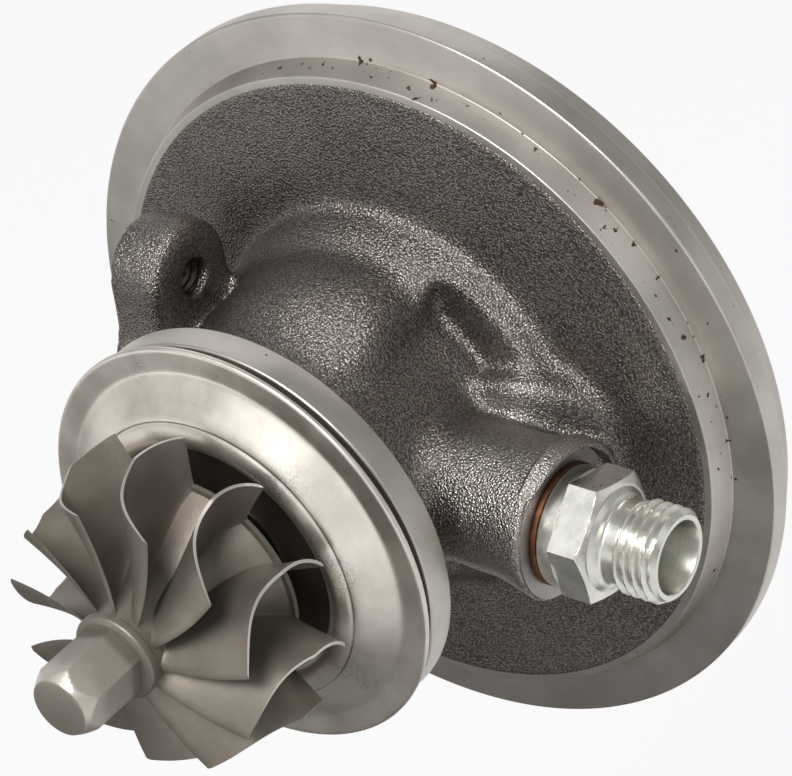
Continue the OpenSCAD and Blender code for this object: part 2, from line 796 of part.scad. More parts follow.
module seal_plate_o_ring() {
    corner = 0.4;
    out_r = spigot_d / 2 + seat_gap;
    color("black") on_axis() rotate_extrude() polygon(concat(
        arc([o_ring_groove_r + corner, z_o_ring + corner], corner, 180, 270, 3),
        arc([out_r - corner, z_o_ring + corner], corner, 270, 360, 3),
        arc([out_r - corner, z_o_ring + o_ring_w - corner], corner, 0, 90, 3),
        arc([o_ring_groove_r + corner, z_o_ring + o_ring_w - corner], corner, 90, 180, 3)
    ));
}

module seal_plate_screws() {
    socket_ratio = 0.6;
    socket_r = screw_d * socket_ratio / 2 / cos(30);
    socket_depth = 1.4;
    head_lap = 0.5;
    color("dimgray") on_axis() screw_places() difference() {
        union() {
            screw_cone(0);
            disc(screw_d / 2, z_rear + head_lap, z_plate_seat + screw_depth);
        }
        translate([0, 0, z_rear - cut])
            cylinder(r = socket_r, h = socket_depth + cut, $fn = 6);
    }
}

// Rotor shaft and the small pieces stacked on it

module rotor_shaft() {
    thread_relief = 0.5;
    ring_groove_r = boss_bore_r - ring_depth - ring_gap;
    color("gainsboro") on_axis() difference() {
        union() {
            disc(boss_r, z_boss, z_weld);
            disc(journal_r, z_shoulder, z_boss + cut);
            disc(stub_r, z_shaft_end + thread_relief, z_shoulder + cut);
            translate([0, 0, z_shaft_end]) cylinder(r1 = stub_r - thread_relief, r2 = stub_r, h = thread_relief);
        }
        ring(ring_groove_r, boss_d, z_turb_ring - ring_gap, z_turb_ring + ring_t + ring_gap);
    }
}

module inner_thrust_washer() {
    color("gray") on_axis() ring(stub_r, inner_washer_d / 2, z_inner_washer, z_shoulder);
}

module thrust_spacer() {
    color("lightgray") on_axis() ring(stub_r, spacer_d / 2, z_spacer, z_inner_washer);
}

module outer_thrust_washer() {
    color("gray") on_axis() ring(stub_r, outer_washer_d / 2, z_outer_washer, z_spacer);
}

module oil_slinger() {
    rim_t_slinger = 0.9;
    ring_groove_r = slinger_bore_r - ring_depth - ring_gap;
    color("silver") on_axis() difference() {
        union() {
            disc(slinger_d / 2, z_wheel_back, z_outer_washer);
            disc(slinger_rim_d / 2, z_outer_washer - rim_t_slinger, z_outer_washer);
        }
        disc(stub_r, z_wheel_back - cut, z_outer_washer + cut);
        ring(ring_groove_r, slinger_rim_d, z_comp_ring - ring_gap, z_comp_ring + ring_t + ring_gap);
    }
}

module shaft_nut() {
    washer_face = 1.2;
    corner_cut = 0.3;
    color("lightgray") on_axis() difference() {
        union() {
            disc(nut_af / 2, z_wheel_nose - washer_face, z_wheel_nose);
            translate([0, 0, z_nut_end])
                cylinder(r = nut_af / 2 / cos(30) - corner_cut, h = nut_h - washer_face, $fn = 6);
        }
        disc(stub_r, z_nut_end - cut, z_wheel_nose + cut);
    }
}

// Wheel blades

// A blade as a closed skin: two grids of points, one for each side, and the four edges between them
function flat(rows) = [for (row = rows) each row];
module blade_skin(side_a, side_b) {
    rows = len(side_a);
    cols = len(side_a[0]);
    shift = rows * cols;
    function a(i, j) = i * cols + j;
    function b(i, j) = shift + i * cols + j;
    quads = concat(
        [for (i = [0 : rows - 2], j = [0 : cols - 2]) [a(i, j), a(i + 1, j), a(i + 1, j + 1), a(i, j + 1)]],
        [for (i = [0 : rows - 2], j = [0 : cols - 2]) [b(i, j), b(i, j + 1), b(i + 1, j + 1), b(i + 1, j)]],
        [for (i = [0 : rows - 2]) [a(i + 1, 0), a(i, 0), b(i, 0), b(i + 1, 0)]],
        [for (i = [0 : rows - 2]) [a(i, cols - 1), a(i + 1, cols - 1), b(i + 1, cols - 1), b(i, cols - 1)]],
        [for (j = [0 : cols - 2]) [a(0, j), a(0, j + 1), b(0, j + 1), b(0, j)]],
        [for (j = [0 : cols - 2]) [a(rows - 1, j + 1), a(rows - 1, j), b(rows - 1, j), b(rows - 1, j + 1)]]
    );
    polyhedron(
        points = concat(flat(side_a), flat(side_b)),
        faces = flat([for (q = quads) [[q[0], q[1], q[2]], [q[0], q[2], q[3]]]])
    );
}

// Turbine wheel

hub_disc_r = hub_disc_d / 2;
nose_collar_r = nose_collar_d / 2;
hub_curve = 2.2;
collar_step = 0.2;
hub_end_r = nose_collar_r - collar_step;
function hub_radius(z) =
    hub_end_r + (hub_disc_r - hub_end_r) * pow(max(0, (z_hub_end - z) / (z_hub_end - z_blade_back)), hub_curve);

shroud_curve = 1.6;
function shroud_radius(z) = z <= z_inducer
    ? turbine_d / 2
    : exducer_d / 2 + (turbine_d - exducer_d) / 2 * pow(max(0, z_exducer - z) / (z_exducer - z_inducer), shroud_curve);

// Blade angle along the axis: a small lean at the inducer and a strong turn at the exducer
blade_start = 96;
inducer_lean = 8.2;
lean_power = 7;
exducer_turn = 25.6;
turn_power = 5;
function blade_angle(z) =
    let (u = (z - z_blade_back) / turbine_len)
    blade_start - inducer_lean * pow(max(0, 1 - u), lean_power) - exducer_turn * pow(max(0, u), turn_power);

// Half the blade thickness as an angle, widened where the blade turns across the axis
slope_step = 0.1;
function half_angle(r, z, t) =
    let (turn = (blade_angle(z + slope_step) - blade_angle(z - slope_step)) / 2 / slope_step * r * PI / 180)
    t / 2 / r * sqrt(1 + turn * turn) * 180 / PI;

tip_rows = 3;
shroud_rows = 6;
blade_cols = 4;
root_sink = 0.5;
blade_rows = tip_rows + shroud_rows;
function shroud_station(i) = i <= tip_rows
    ? mix(z_blade_back, z_inducer, i / tip_rows)
    : mix(z_inducer, z_exducer, (i - tip_rows) / shroud_rows);
function hub_station(i) = mix(z_blade_back, z_blade_end, (shroud_station(i) - z_blade_back) / turbine_len);
function blade_point(i, j, side) =
    let (
        h = j / blade_cols,
        z = mix(hub_station(i), shroud_station(i), h),
        r = mix(hub_radius(hub_station(i)) - root_sink, shroud_radius(shroud_station(i)), h),
        t = mix(blade_root_t, blade_tip_t, h)
    ) polar(r, blade_angle(z) + side * half_angle(r, z, t), z);
function blade_side(side) = [for (i = [0 : blade_rows]) [for (j = [0 : blade_cols]) blade_point(i, j, side)]];

module turbine_wheel() {
    hub_rows = 9;
    z_rim = z_blade_back + hub_margin;
    collar_round = 1.1;
    nose_chamfer = 3;
    nose_end_r = 4.3;
    nose_sink = 0.4;
    nose_turn = 20;
    nose_over = 0.3;
    nose_r = nose_af / 2 / cos(30);
    color("gray") on_axis() {
        rotate_extrude() polygon(concat(
            [[0, z_weld], [boss_r, z_weld], [boss_r, z_hub_back], [hub_disc_r, z_hub_back], [hub_disc_r, z_rim]],
            [for (i = [0 : hub_rows]) let (z = mix(z_rim, z_hub_end, i / hub_rows)) [hub_radius(z), z]],
            arc([nose_collar_r - collar_round, z_hub_end + collar_round], collar_round, -60, 60, 4),
            [[nose_af / 2 - nose_sink, z_nose], [0, z_nose]]
        ));
        intersection() {
            translate([0, 0, z_nose - cut]) rotate([0, 0, nose_turn])
                cylinder(r = nose_r, h = nose_len + cut, $fn = 6);
            rotate_extrude() polygon([
                [0, z_nose - cut], [nose_r + nose_over, z_nose - cut], [nose_r + nose_over, z_tip - nose_chamfer],
                [nose_end_r, z_tip], [0, z_tip]
            ]);
        }
        for (k = [0 : turbine_blades - 1]) rotate([0, 0, -k * 360 / turbine_blades])
            blade_skin(blade_side(-1), blade_side(1));
    }
}

// Compressor wheel

wheel_hub_r = 7;
wheel_rim_t = 0.9;
z_wheel_rim = z_wheel_back - wheel_rim_t;
nose_plain = 2.5;
z_lead = z_wheel_nose + nose_plain;
wheel_r = compressor_d / 2;
blade_inset = 0.3;

// Flow path points: along the hub and along the shroud, from the inlet at 0 to the outlet at 1
function path_hub(s) = [
    wheel_hub_r + (wheel_r - blade_inset - wheel_hub_r) * (1 - cos(90 * s)),
    mix(z_lead, z_wheel_rim, sin(90 * s))
];
function path_shroud(s) = [
    inducer_d / 2 + (wheel_r - blade_inset - inducer_d / 2) * (1 - cos(90 * s)),
    mix(z_lead, z_wheel_rim - exit_w, sin(90 * s))
];

inlet_turn = 42;
back_sweep = 14;
function wheel_angle(s) = -inlet_turn * (1 - pow(1 - s, 2)) - back_sweep * pow(s, 3);

wheel_rows = 8;
wheel_cols = 3;
wheel_tip_t = 0.6;
wheel_root_t = 1.4;
rim_sink = 0.4;
inlet_thickening = 0.5;
function wheel_point(s, j, side) =
    let (
        h = j / wheel_cols,
        hub = path_hub(s) - [root_sink, 0] * (1 - s),
        sunk = hub + [0, rim_sink * s],
        p = mix(sunk, path_shroud(s), h),
        t = mix(wheel_root_t, wheel_tip_t, h),
        lean = 1 + inlet_thickening * (1 - s)
    ) polar(p.x, wheel_angle(s) + side * t / 2 / p.x * lean * 180 / PI, p.y);
function wheel_side(s0, side) =
    [for (i = [0 : wheel_rows]) [for (j = [0 : wheel_cols]) wheel_point(mix(s0, 1, i / wheel_rows), j, side)]];

splitter_start = 0.34;
module compressor_wheel() {
    hub_rows = 10;
    nose_taper = 0.8;
    pitch = 360 / compressor_blades;
    color("lightgray") on_axis() difference() {
        union() {
            rotate_extrude() polygon(concat(
                [[0, z_wheel_back], [wheel_r, z_wheel_back], [wheel_r, z_wheel_rim]],
                [for (i = [hub_rows : -1 : 0]) path_hub(i / hub_rows)],
                [[wheel_hub_r - nose_taper, z_wheel_nose], [0, z_wheel_nose]]
            ));
            for (k = [0 : compressor_blades - 1]) {
                rotate([0, 0, k * pitch]) blade_skin(wheel_side(0, -1), wheel_side(0, 1));
                rotate([0, 0, (k + 0.5) * pitch])
                    blade_skin(wheel_side(splitter_start, -1), wheel_side(splitter_start, 1));
            }
        }
        disc(stub_r, z_wheel_nose - cut, z_wheel_back + cut);
    }
}

bearing_housing();
heat_shield();
feed_adapter();
feed_washer();
turbine_seal_ring();
turbine_bush_outer_clip();
turbine_bush_inner_clip();
compressor_bush_inner_clip();
compressor_bush_outer_clip();
thrust_bearing();
thrust_dowels();
oil_deflector();
seal_plate();
seal_plate_o_ring();
seal_plate_screws();
compressor_seal_ring();
turbine_wheel();
rotor_shaft();
inner_thrust_washer();
thrust_spacer();
outer_thrust_washer();
oil_slinger();
compressor_wheel();
shaft_nut();
turbine_journal_bush();
compressor_journal_bush();
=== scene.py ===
# Turbo cartridge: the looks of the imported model, built piece by piece in the order of assembly.
# Lengths in the sections are millimetres. Station means the distance along the rotor axis from
# the compressor shoulder towards the turbine, which is -Y in the model.

import json
import math

import bmesh
import bpy
import numpy as np
from mathutils import Matrix, Vector

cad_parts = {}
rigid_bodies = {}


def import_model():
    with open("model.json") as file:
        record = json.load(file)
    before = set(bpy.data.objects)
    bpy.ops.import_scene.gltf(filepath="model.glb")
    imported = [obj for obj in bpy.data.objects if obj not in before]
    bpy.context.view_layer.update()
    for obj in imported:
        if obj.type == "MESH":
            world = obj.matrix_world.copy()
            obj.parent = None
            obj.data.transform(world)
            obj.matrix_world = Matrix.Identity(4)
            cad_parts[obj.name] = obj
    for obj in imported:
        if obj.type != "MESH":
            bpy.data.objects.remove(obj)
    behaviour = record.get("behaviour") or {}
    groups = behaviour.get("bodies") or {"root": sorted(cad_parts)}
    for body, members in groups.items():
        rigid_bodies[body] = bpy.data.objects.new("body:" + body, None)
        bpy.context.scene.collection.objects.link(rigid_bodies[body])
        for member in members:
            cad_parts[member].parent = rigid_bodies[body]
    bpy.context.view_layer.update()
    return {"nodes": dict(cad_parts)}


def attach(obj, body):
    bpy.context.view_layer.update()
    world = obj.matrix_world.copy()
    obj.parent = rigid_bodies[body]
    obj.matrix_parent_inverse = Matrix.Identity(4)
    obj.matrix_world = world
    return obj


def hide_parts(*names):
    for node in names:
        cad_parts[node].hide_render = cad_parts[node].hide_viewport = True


for left_over in list(bpy.data.objects):
    bpy.data.objects.remove(left_over)
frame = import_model()


# Cast bearing housing
# The one grey-iron sand casting that carries everything: web, drum, neck, feed boss and drain
# flange run into each other with wide fillets. Its blasted skin is dark grey with a fine grain.

class Wire:
    """A node socket that can be used in Python sums. Other nodes come from its node method."""

    def __init__(self, tree, socket=None):
        self.tree, self.socket = tree, socket

    def node(self, kind, inputs=(), out=0, **settings):
        made = self.tree.nodes.new(kind)
        for key, value in settings.items():
            setattr(made, key, value)
        for key, value in inputs.items() if isinstance(inputs, dict) else enumerate(inputs):
            if isinstance(value, Wire):
                self.tree.links.new(value.socket, made.inputs[key])
            else:
                made.inputs[key].default_value = value
        return Wire(self.tree, made.outputs[out] if len(made.outputs) else None)

    def sum(self, operation, *values):
        return self.node("ShaderNodeMath", values, operation=operation)

    def __add__(self, other): return self.sum("ADD", self, other)
    def __sub__(self, other): return self.sum("SUBTRACT", self, other)
    def __rsub__(self, other): return self.sum("SUBTRACT", other, self)
    def __mul__(self, other): return self.sum("MULTIPLY", self, other)
    def __truediv__(self, other): return self.sum("DIVIDE", self, other)
    def __rtruediv__(self, other): return self.sum("DIVIDE", other, self)
    __radd__, __rmul__ = __add__, __mul__

    def low(self, other): return self.sum("MINIMUM", self, other)
    def high(self, other): return self.sum("MAXIMUM", self, other)
    def join(self, other, round_r): return self.sum("SMOOTH_MIN", self, other, round_r)
    def meet(self, other, round_r): return self.sum("SMOOTH_MAX", self, other, round_r)
    def carve(self, other, round_r): return self.meet(0 - other, round_r)
    def root(self): return self.sum("SQRT", self)
    def size(self): return self.sum("ABSOLUTE", self)
    def held(self): return self.low(1.0).high(0.0)

    def ramp(self, start, end):
        """0 before start and 1 after end, smooth between."""
        return self.node("ShaderNodeMapRange", (self, start, end), interpolation_type="SMOOTHSTEP")


def parts_of(vector):
    made = vector.node("ShaderNodeSeparateXYZ", (vector,)).socket.node
    return [Wire(vector.tree, socket) for socket in made.outputs]


def vector_of(x, y, z):
    wire = next(v for v in (x, y, z) if isinstance(v, Wire))
    return wire.node("ShaderNodeCombineXYZ", (x, y, z))


def distance(u, v, w=None):
    total = u * u + v * v
    return (total if w is None else total + w * w).root()


def capsule(p, start, end, r_start, r_end):
    """Distance to a round bar from one point to another, in millimetres."""
    line = [e - s for s, e in zip(start, end)]
    whole = sum(c * c for c in line)
    off = [a - s for a, s in zip(p, start)]
    along = ((off[0] * line[0] + off[1] * line[1] + off[2] * line[2]) / whole).held()
    near = [o - along * c for o, c in zip(off, line)]
    return distance(*near) - (r_start + along * (r_end - r_start))


def rounded_disc(r, station, radius, bottom, top, edge):
    """Distance to a disc around the rotor axis with a rounded edge."""
    out = r - (radius - edge)
    up = (station - (top + bottom) / 2).size() - ((top - bottom) / 2 - edge)
    return distance(out.high(0.0), up.high(0.0)) + out.high(up).low(0.0) - edge


def tree_of(name, inputs):
    """A new geometry tree with named inputs, and those inputs by name."""
    tree = bpy.data.node_groups.new(name, "GeometryNodeTree")
    for label, kind in inputs.items():
        tree.interface.new_socket(label, in_out="INPUT", socket_type="NodeSocket" + kind)
    tree.interface.new_socket("Geometry", in_out="OUTPUT", socket_type="NodeSocketGeometry")
    wire = Wire(tree)
    given = wire.node("NodeGroupInput").socket.node
    return wire, {socket.name: Wire(tree, socket) for socket in given.outputs if socket.name}


def plain_mesh(name, tree, values, start=None):
    """Runs a geometry tree on an object and keeps the result as a plain mesh object."""
    made = bpy.data.objects.new(name, start or bpy.data.meshes.new(name))
    bpy.context.scene.collection.objects.link(made)
    modifier = made.modifiers.new("shape", "NODES")
    modifier.node_group = tree
    sockets = {s.name: s.identifier for s in tree.interface.items_tree if s.in_out == "INPUT"}
    for label, value in values.items():
        modifier[sockets[label]] = value
    bpy.context.view_layer.update()
    evaluated = made.evaluated_get(bpy.context.evaluated_depsgraph_get())
    mesh = bpy.data.meshes.new_from_object(evaluated)
    made.modifiers.remove(modifier)
    made.data = mesh
    mesh.name = name
    return made


def new_finish(name):
    """A finish to be filled in: its material, and the place on the piece in millimetres."""
    material = bpy.data.materials.new(name)
    material.use_nodes = True
    wire = Wire(material.node_tree)
    place = wire.node("ShaderNodeTexCoord", out="Object")
    place = wire.node("ShaderNodeVectorMath", {"Vector": place, "Scale": 1000.0}, operation="SCALE")
    return material, place


def fill(material, **values):
    """Sets or links the sockets of the finish's shader."""
    shader = material.node_tree.nodes["Principled BSDF"]
    for key, value in values.items():
        socket = shader.inputs[key.replace("_", " ").title()]
        if isinstance(value, Wire):
            material.node_tree.links.new(value.socket, socket)
        else:
            socket.default_value = (*value, 1) if hasattr(value, "__len__") else value
    return material


def noise(place, scale, detail=2.0, rough=0.5):
    return place.node("ShaderNodeTexNoise", {
        "Vector": place, "Scale": scale, "Detail": detail, "Roughness": rough})


def tint(dark, light, share):
    """A mix of two colours, each of them three numbers or an earlier mix."""
    first, second = (c if isinstance(c, Wire) else (*c, 1) for c in (dark, light))
    return share.node("ShaderNodeMix", {0: share, 6: first, 7: second}, out=2, data_type="RGBA")


def bumped(height, depth_mm):
    return height.node("ShaderNodeBump", {
        "Height": height, "Strength": 1.0, "Distance": depth_mm / 1000})


CAST_DARK, CAST_LIGHT = (0.112, 0.095, 0.085), (0.40, 0.37, 0.345)
CAST_GRAIN, CAST_FINE, CAST_BROAD, CAST_BUMP = 2.9, 4.6, 0.07, 0.24


def blasted_skin():
    material, place = new_finish("cast_skin")
    grain = 1 - place.node("ShaderNodeTexVoronoi", {"Vector": place, "Scale": CAST_GRAIN}, out="Distance")
    fine = noise(place, CAST_FINE, 1.0)
    broad = noise(place, CAST_BROAD)
    peaks = (grain * 0.5 + fine * 0.5).ramp(0.40, 0.72)
    # The feed boss is painted lighter: a painted highlight where the light falls on its front and top
    x, y, _ = parts_of(place)
    boss_painted_highlight = x.ramp(18.0, 30.0) * (0 - y).ramp(10.0, 17.0)
    share = peaks * 0.75 + broad.ramp(0.35, 0.7) * 0.1 + boss_painted_highlight * 0.4
    return fill(material, base_color=tint(CAST_DARK, CAST_LIGHT, share), metallic=1.0,
                roughness=0.38 - peaks * 0.10, normal=bumped(grain * 0.6 + fine * 0.4, CAST_BUMP))


cast_skin = blasted_skin()

FEED_STATION, FEED_FACE = 25.0, 39.3
DRAIN_STATION, DRAIN_FACE, EAR_GAP = 21.5, -35.0, 22.0
CASTING_SIZES = {
    "Web radius": 52.1, "Web face": 7.4, "Web fall": 1.0,
    "Drum radius": 31.5, "Drum face": 16.5, "Drum round": 8.4, "Neck radius": 22.5,
    "Flange radius": 31.8, "Flange back": 42.6, "Flange front": 47.8,
    "Pocket radius": 26.2, "Pocket half": 3.5, "Pocket turn": 0.70, "Pocket sweep": 0.41, "Pocket floor": 12.2,
    "Hump radius": 28.3, "Hump end": 23.5, "Hump side": 12.0,
    "Pad radius": 13.75, "Pad middle": 25.55, "Pad crest": 27.0, "Pad face": 16.3,
    "Drain back": -25.2, "Ear radius": 9.0, "Hub radius": 15.5,
    "Drain bore": 8.0, "Bolt bore": 2.9, "Stud bore": 6.0, "Rotor bore": 6.6}
CASTING_LOW, CASTING_HIGH, CASTING_VOXEL = (-54.0, -48.0, -54.0), (54.0, 0.0, 54.0), 0.66


def casting_shape(p, size):
    """Signed distance to the casting, built up like its pattern: turned body, bosses, then cores."""
    x, station, z = p
    r = distance(x, z)
    # Turned body of the pattern
    fall = (r - 34.0) * (size["Web fall"] / 18)
    web = rounded_disc(r, station + fall, size["Web radius"], 1.5, size["Web face"] + size["Web fall"], 1.3)
    drum = rounded_disc(r, station, size["Drum radius"], -1.0, size["Drum face"], size["Drum round"])
    drum = drum.high(2.0 - station)
    neck = rounded_disc(r, station, size["Neck radius"], 3.0, size["Flange back"] + 3.0, 1.0)
    flange_root = rounded_disc(
        r, station, size["Flange radius"] - 0.5, size["Flange back"] + 0.3, size["Flange front"] - 0.6, 0.6)
    body = web.join(drum, 3.5).join(neck, 5.0).join(flange_root, 4.0)
    # Pocket between the drum's shoulder and the feed boss
    turn = z.sum("ARCTAN2", z, x)
    sides = (r - size["Pocket radius"]).size() - size["Pocket half"]
    ends = ((turn - size["Pocket turn"]).size() - size["Pocket sweep"]) * size["Pocket radius"]
    pocket = sides.meet(ends, 4.2).meet(size["Pocket floor"] - station, 2.2)
    body = body.carve(pocket, 3.4)
    # Wider half of the neck around the oil cavity, on the drain side
    out = r - size["Hump radius"]
    hump = out.meet(out * 0.833 + (station - size["Hump end"]) * 0.553, 5.0)
    hump = hump.meet(x - size["Hump side"], 9.0).high(2.5 - station)
    body = body.join(hump, 3.0)
    # Feed boss on its pad, whose top falls away outwards
    above = station - size["Pad face"]
    top = above.meet((x - size["Pad crest"]) * 0.584 + above * 0.811, 3.0)
    pad = distance(x - size["Pad middle"], z) - size["Pad radius"]
    pad = pad.meet(top, 3.5).high(2.5 - station)
    prop = capsule(p, (20.0, 16.0, 0.0), (35.0, 13.0, 0.0), 6.5, 4.0)
    boss = capsule(p, (15.0, FEED_STATION, 2.1), (44.0, FEED_STATION, 0.1), 8.2, 12.2)
    bulge = capsule(p, (18.0, FEED_STATION + 1.0, 1.0), (27.5, FEED_STATION + 0.5, 0.4), 9.0, 9.6)
    boss = boss.join(bulge, 3.0).meet(x - (FEED_FACE - 0.15), 0.3)
    body = body.join(pad, 3.0).join(prop, 3.0).join(boss, 6.0)
    # Drain flange and its stem
    stem = capsule(p, (-8.0, DRAIN_STATION, 0.0), (-30.0, DRAIN_STATION, 0.0), 14.0, 14.0)
    across = station - DRAIN_STATION
    behind = x - size["Drain back"]
    draft = behind * 0.13
    ears = distance(across, (z.size() - EAR_GAP).high(0.0)) - (size["Ear radius"] + draft)
    hub = distance(across, z) - (size["Hub radius"] + draft)
    flange = ears.join(hub, 8.0).meet(behind, 5.0)
    body = body.join(stem.join(flange, 3.0).high(DRAIN_FACE - x), 3.5)
    # Drain bore, bolt holes and the bores for the feed stud and the rotor
    stud = (distance(station - FEED_STATION, z) - size["Stud bore"]).high(28.0 - x)
    drain = (distance(across, z) - size["Drain bore"]).high(x + 11.0)
    bolts = (distance(across, z.size() - EAR_GAP) - size["Bolt bore"]).high(x + 20.0)
    rotor = (r - size["Rotor bore"]).low((r - 9.8).high(station - 8.4)).low((r - 17.1).high(station - 5.5))
    for bore in (stud, drain, bolts, rotor):
        body = body.high(0 - bore)
    return body


def cast_housing():
    wire, ask = tree_of("casting", {**dict.fromkeys(CASTING_SIZES, "Float"), "Finish": "Material"})
    x, y, z = parts_of(wire.node("GeometryNodeInputPosition"))
    shape = casting_shape((x * 1000.0, y * -1000.0, z * 1000.0), ask)
    counts = [int((high - low) / CASTING_VOXEL) for low, high in zip(CASTING_LOW, CASTING_HIGH)]
    solid = wire.node("GeometryNodeVolumeCube", {
        "Density": 0 - shape, "Background": -1.0,
        "Min": [c / 1000 for c in CASTING_LOW], "Max": [c / 1000 for c in CASTING_HIGH],
        "Resolution X": counts[0], "Resolution Y": counts[1], "Resolution Z": counts[2]})
    skin = wire.node("GeometryNodeVolumeToMesh", {"Volume": solid, "Threshold": 0.0})
    smooth = wire.node("GeometryNodeSetShadeSmooth", {"Geometry": skin})
    done = wire.node("GeometryNodeSetMaterial", {"Geometry": smooth, "Material": ask["Finish"]})
    wire.node("NodeGroupOutput", (done,))
    return plain_mesh("housing_casting", wire.tree, {**CASTING_SIZES, "Finish": cast_skin})


casting = cast_housing()
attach(casting, "housing")
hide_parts("bearing_housing")


# Machined faces of the housing
# The rim, the ring towards the turbine, the compressor pilot and the turbine flange are turned on a
# lathe, so they are bright and carry fine circular tool marks and a few rust pits.

def eased(corners, steps=5):
    """The outline through corners of (radius, station, ease), each rounded by its ease."""
    done = []
    for i, (u, v, ease) in enumerate(corners):
        here = np.array((u, v), float)
        if ease == 0:
            done.append(here)
            continue
        back = np.array(corners[i - 1][:2]) - here
        ahead = np.array(corners[(i + 1) % len(corners)][:2]) - here
        back, ahead = back / np.linalg.norm(back), ahead / np.linalg.norm(ahead)
        half = math.acos(np.clip(back @ ahead, -1, 1)) / 2
        centre = here + (back + ahead) / np.linalg.norm(back + ahead) * ease / math.sin(half)
        start = here + back * ease / math.tan(half) - centre
        end = here + ahead * ease / math.tan(half) - centre
        sweep = math.pi - 2 * half
        for t in np.arange(steps + 1) / steps:
            arc = start * math.sin((1 - t) * sweep) + end * math.sin(t * sweep)
            done.append(centre + arc / math.sin(sweep))
    return done


def about_rotor(r, turn, station):
    """A point at a radius and an angle about the rotor axis, in metres."""
    return r * math.cos(turn) / 1000, -station / 1000, r * math.sin(turn) / 1000


def full_turn(steps):
    return np.linspace(0, 2 * math.pi, steps, endpoint=False)


def outward(mesh):
    """Merges doubled points and turns the faces outwards."""
    work = bmesh.new()
    work.from_mesh(mesh)
    bmesh.ops.remove_doubles(work, verts=work.verts, dist=1e-7)
    bmesh.ops.recalc_face_normals(work, faces=work.faces)
    work.to_mesh(mesh)
    work.free()


def grid_piece(name, rings, finish, sharp=32):
    """A skin over rings of points in metres, with the last ring joined to the first."""
    rings = np.asarray(rings, float)
    rows, cols = rings.shape[:2]
    faces = []
    for i in range(rows):
        here, ahead = i * cols, (i + 1) % rows * cols
        for j in range(cols):
            k = (j + 1) % cols
            faces.append((here + j, here + k, ahead + k, ahead + j))
    mesh = bpy.data.meshes.new(name)
    mesh.from_pydata(rings.reshape(-1, 3).tolist(), [], faces)
    outward(mesh)
    mesh.shade_smooth()
    mesh.set_sharp_from_angle(angle=math.radians(sharp))
    mesh.materials.append(finish)
    made = bpy.data.objects.new(name, mesh)
    bpy.context.scene.collection.objects.link(made)
    return made


def turned(name, outline, finish, steps=256, sharp=32):
    """A closed outline of (radius, station) points turned round the rotor axis."""
    rings = [[about_rotor(r, t, s) for t in full_turn(steps)] for r, s in outline]
    return grid_piece(name, rings, finish, sharp=sharp)


RUST, RUST_RING_R = (0.10, 0.06, 0.035), 53.4


def turned_finish(name, dark, light, rough, mark=0.004, pits=False):
    """Bare metal from the lathe: fine circular tool marks about the rotor axis, dull patches, rust pits."""
    material, place = new_finish(name)
    x, y, z = parts_of(place)
    r = distance(x, z)
    marks = noise(vector_of(r, y, 0.0), 5.0, 2.0, 0.6)
    patches = noise(place, 0.11, 4.0, 0.55)
    colour = tint(dark, light, (marks * 0.2 + patches * 0.8).ramp(0.2, 0.8))
    dull = rough + (patches - 0.5) * 0.1
    if pits:
        # Rust pits sit in the corner at the foot of the web, with a few on the open faces
        corner = 1 - ((r - RUST_RING_R).size() * 0.9).ramp(0.2, 1.4)
        corner = corner * (0.25 + (x * 0.6 + z * 0.8).ramp(15.0, 45.0) * 0.75)
        spots = (noise(place, 0.65, 2.0, 0.6) + corner * 0.12).ramp(0.74, 0.78) * (0 - y).ramp(0.4, 1.0)
        colour = tint(colour, RUST, spots)
        dull = dull + spots * 0.4
    return fill(material, base_color=colour, metallic=1.0, roughness=dull, normal=bumped(marks, mark))


machined_iron = turned_finish("machined_iron", (0.42, 0.39, 0.355), (0.575, 0.54, 0.50), 0.39, pits=True)

backplate = turned("housing_backplate", eased([
    (20.0, 3.0, 0), (20.0, -1.8, 0), (27.55, -1.8, 0), (27.55, -4.7, 0.2), (58.0, -4.7, 0.4),
    (58.0, 0.0, 0.15), (60.5, 0.0, 0.4), (60.5, 3.5, 0.4), (53.6, 3.5, 0.15), (52.4, 7.3, 0.25),
    (51.0, 7.3, 0), (51.0, 3.0, 0)]), machined_iron, steps=384)
turbine_flange = turned("housing_turbine_flange", eased([
    (8.3, 45.2, 0), (8.3, 48.6, 0.2), (29.5, 48.6, 0.15), (29.5, 47.5, 0.1), (31.8, 47.5, 0.45),
    (31.8, 42.6, 0.4), (24.0, 42.6, 0), (24.0, 45.2, 0)]), machined_iron, steps=320)
for machined in (backplate, turbine_flange):
    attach(machined, "housing")
    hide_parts("bearing_housing")


# Threads of the drain flange
# Two holes for the drain pipe's bolts, tapped into the ears of the casting. Their iron is painted
# darker than that of the faces, as painted shade inside the holes.

TAP_R, TAP_DEPTH, TAP_PITCH, TAP_WALL_R, TAP_START, TAP_END = 3.0, 0.55, 1.25, 3.4, -34.8, -26.4


def thread_wave(along, turn, pitch):
    """A thread's height from 0 to 1, at a place along its axis and an angle about it."""
    return abs((along / pitch - turn / (2 * math.pi)) % 1.0 - 0.5) * 2


def tapped_hole(name, middle):
    line = [(TAP_WALL_R, TAP_START)] + [(None, x) for x in np.linspace(TAP_START, TAP_END, 64)]
    rings = []
    for wall, x in line + [(TAP_WALL_R, TAP_END)]:
        ring = []
        for t in full_turn(48):
            r = wall or TAP_R - TAP_DEPTH * thread_wave(x, t, TAP_PITCH)
            ring.append((x / 1000, (r * math.cos(t) - DRAIN_STATION) / 1000, (r * math.sin(t) + middle) / 1000))
        rings.append(ring)
    return grid_piece(name, rings, tapped_iron_painted_shade)


# The threads' iron is painted dark: painted shade deep inside the holes
tapped_iron_painted_shade = turned_finish("tapped_iron_painted_shade", (0.07, 0.062, 0.056), (0.14, 0.125, 0.115), 0.42)
for thread in (tapped_hole("drain_upper_thread", EAR_GAP), tapped_hole("drain_lower_thread", -EAR_GAP)):
    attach(thread, "housing")
    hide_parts("bearing_housing")


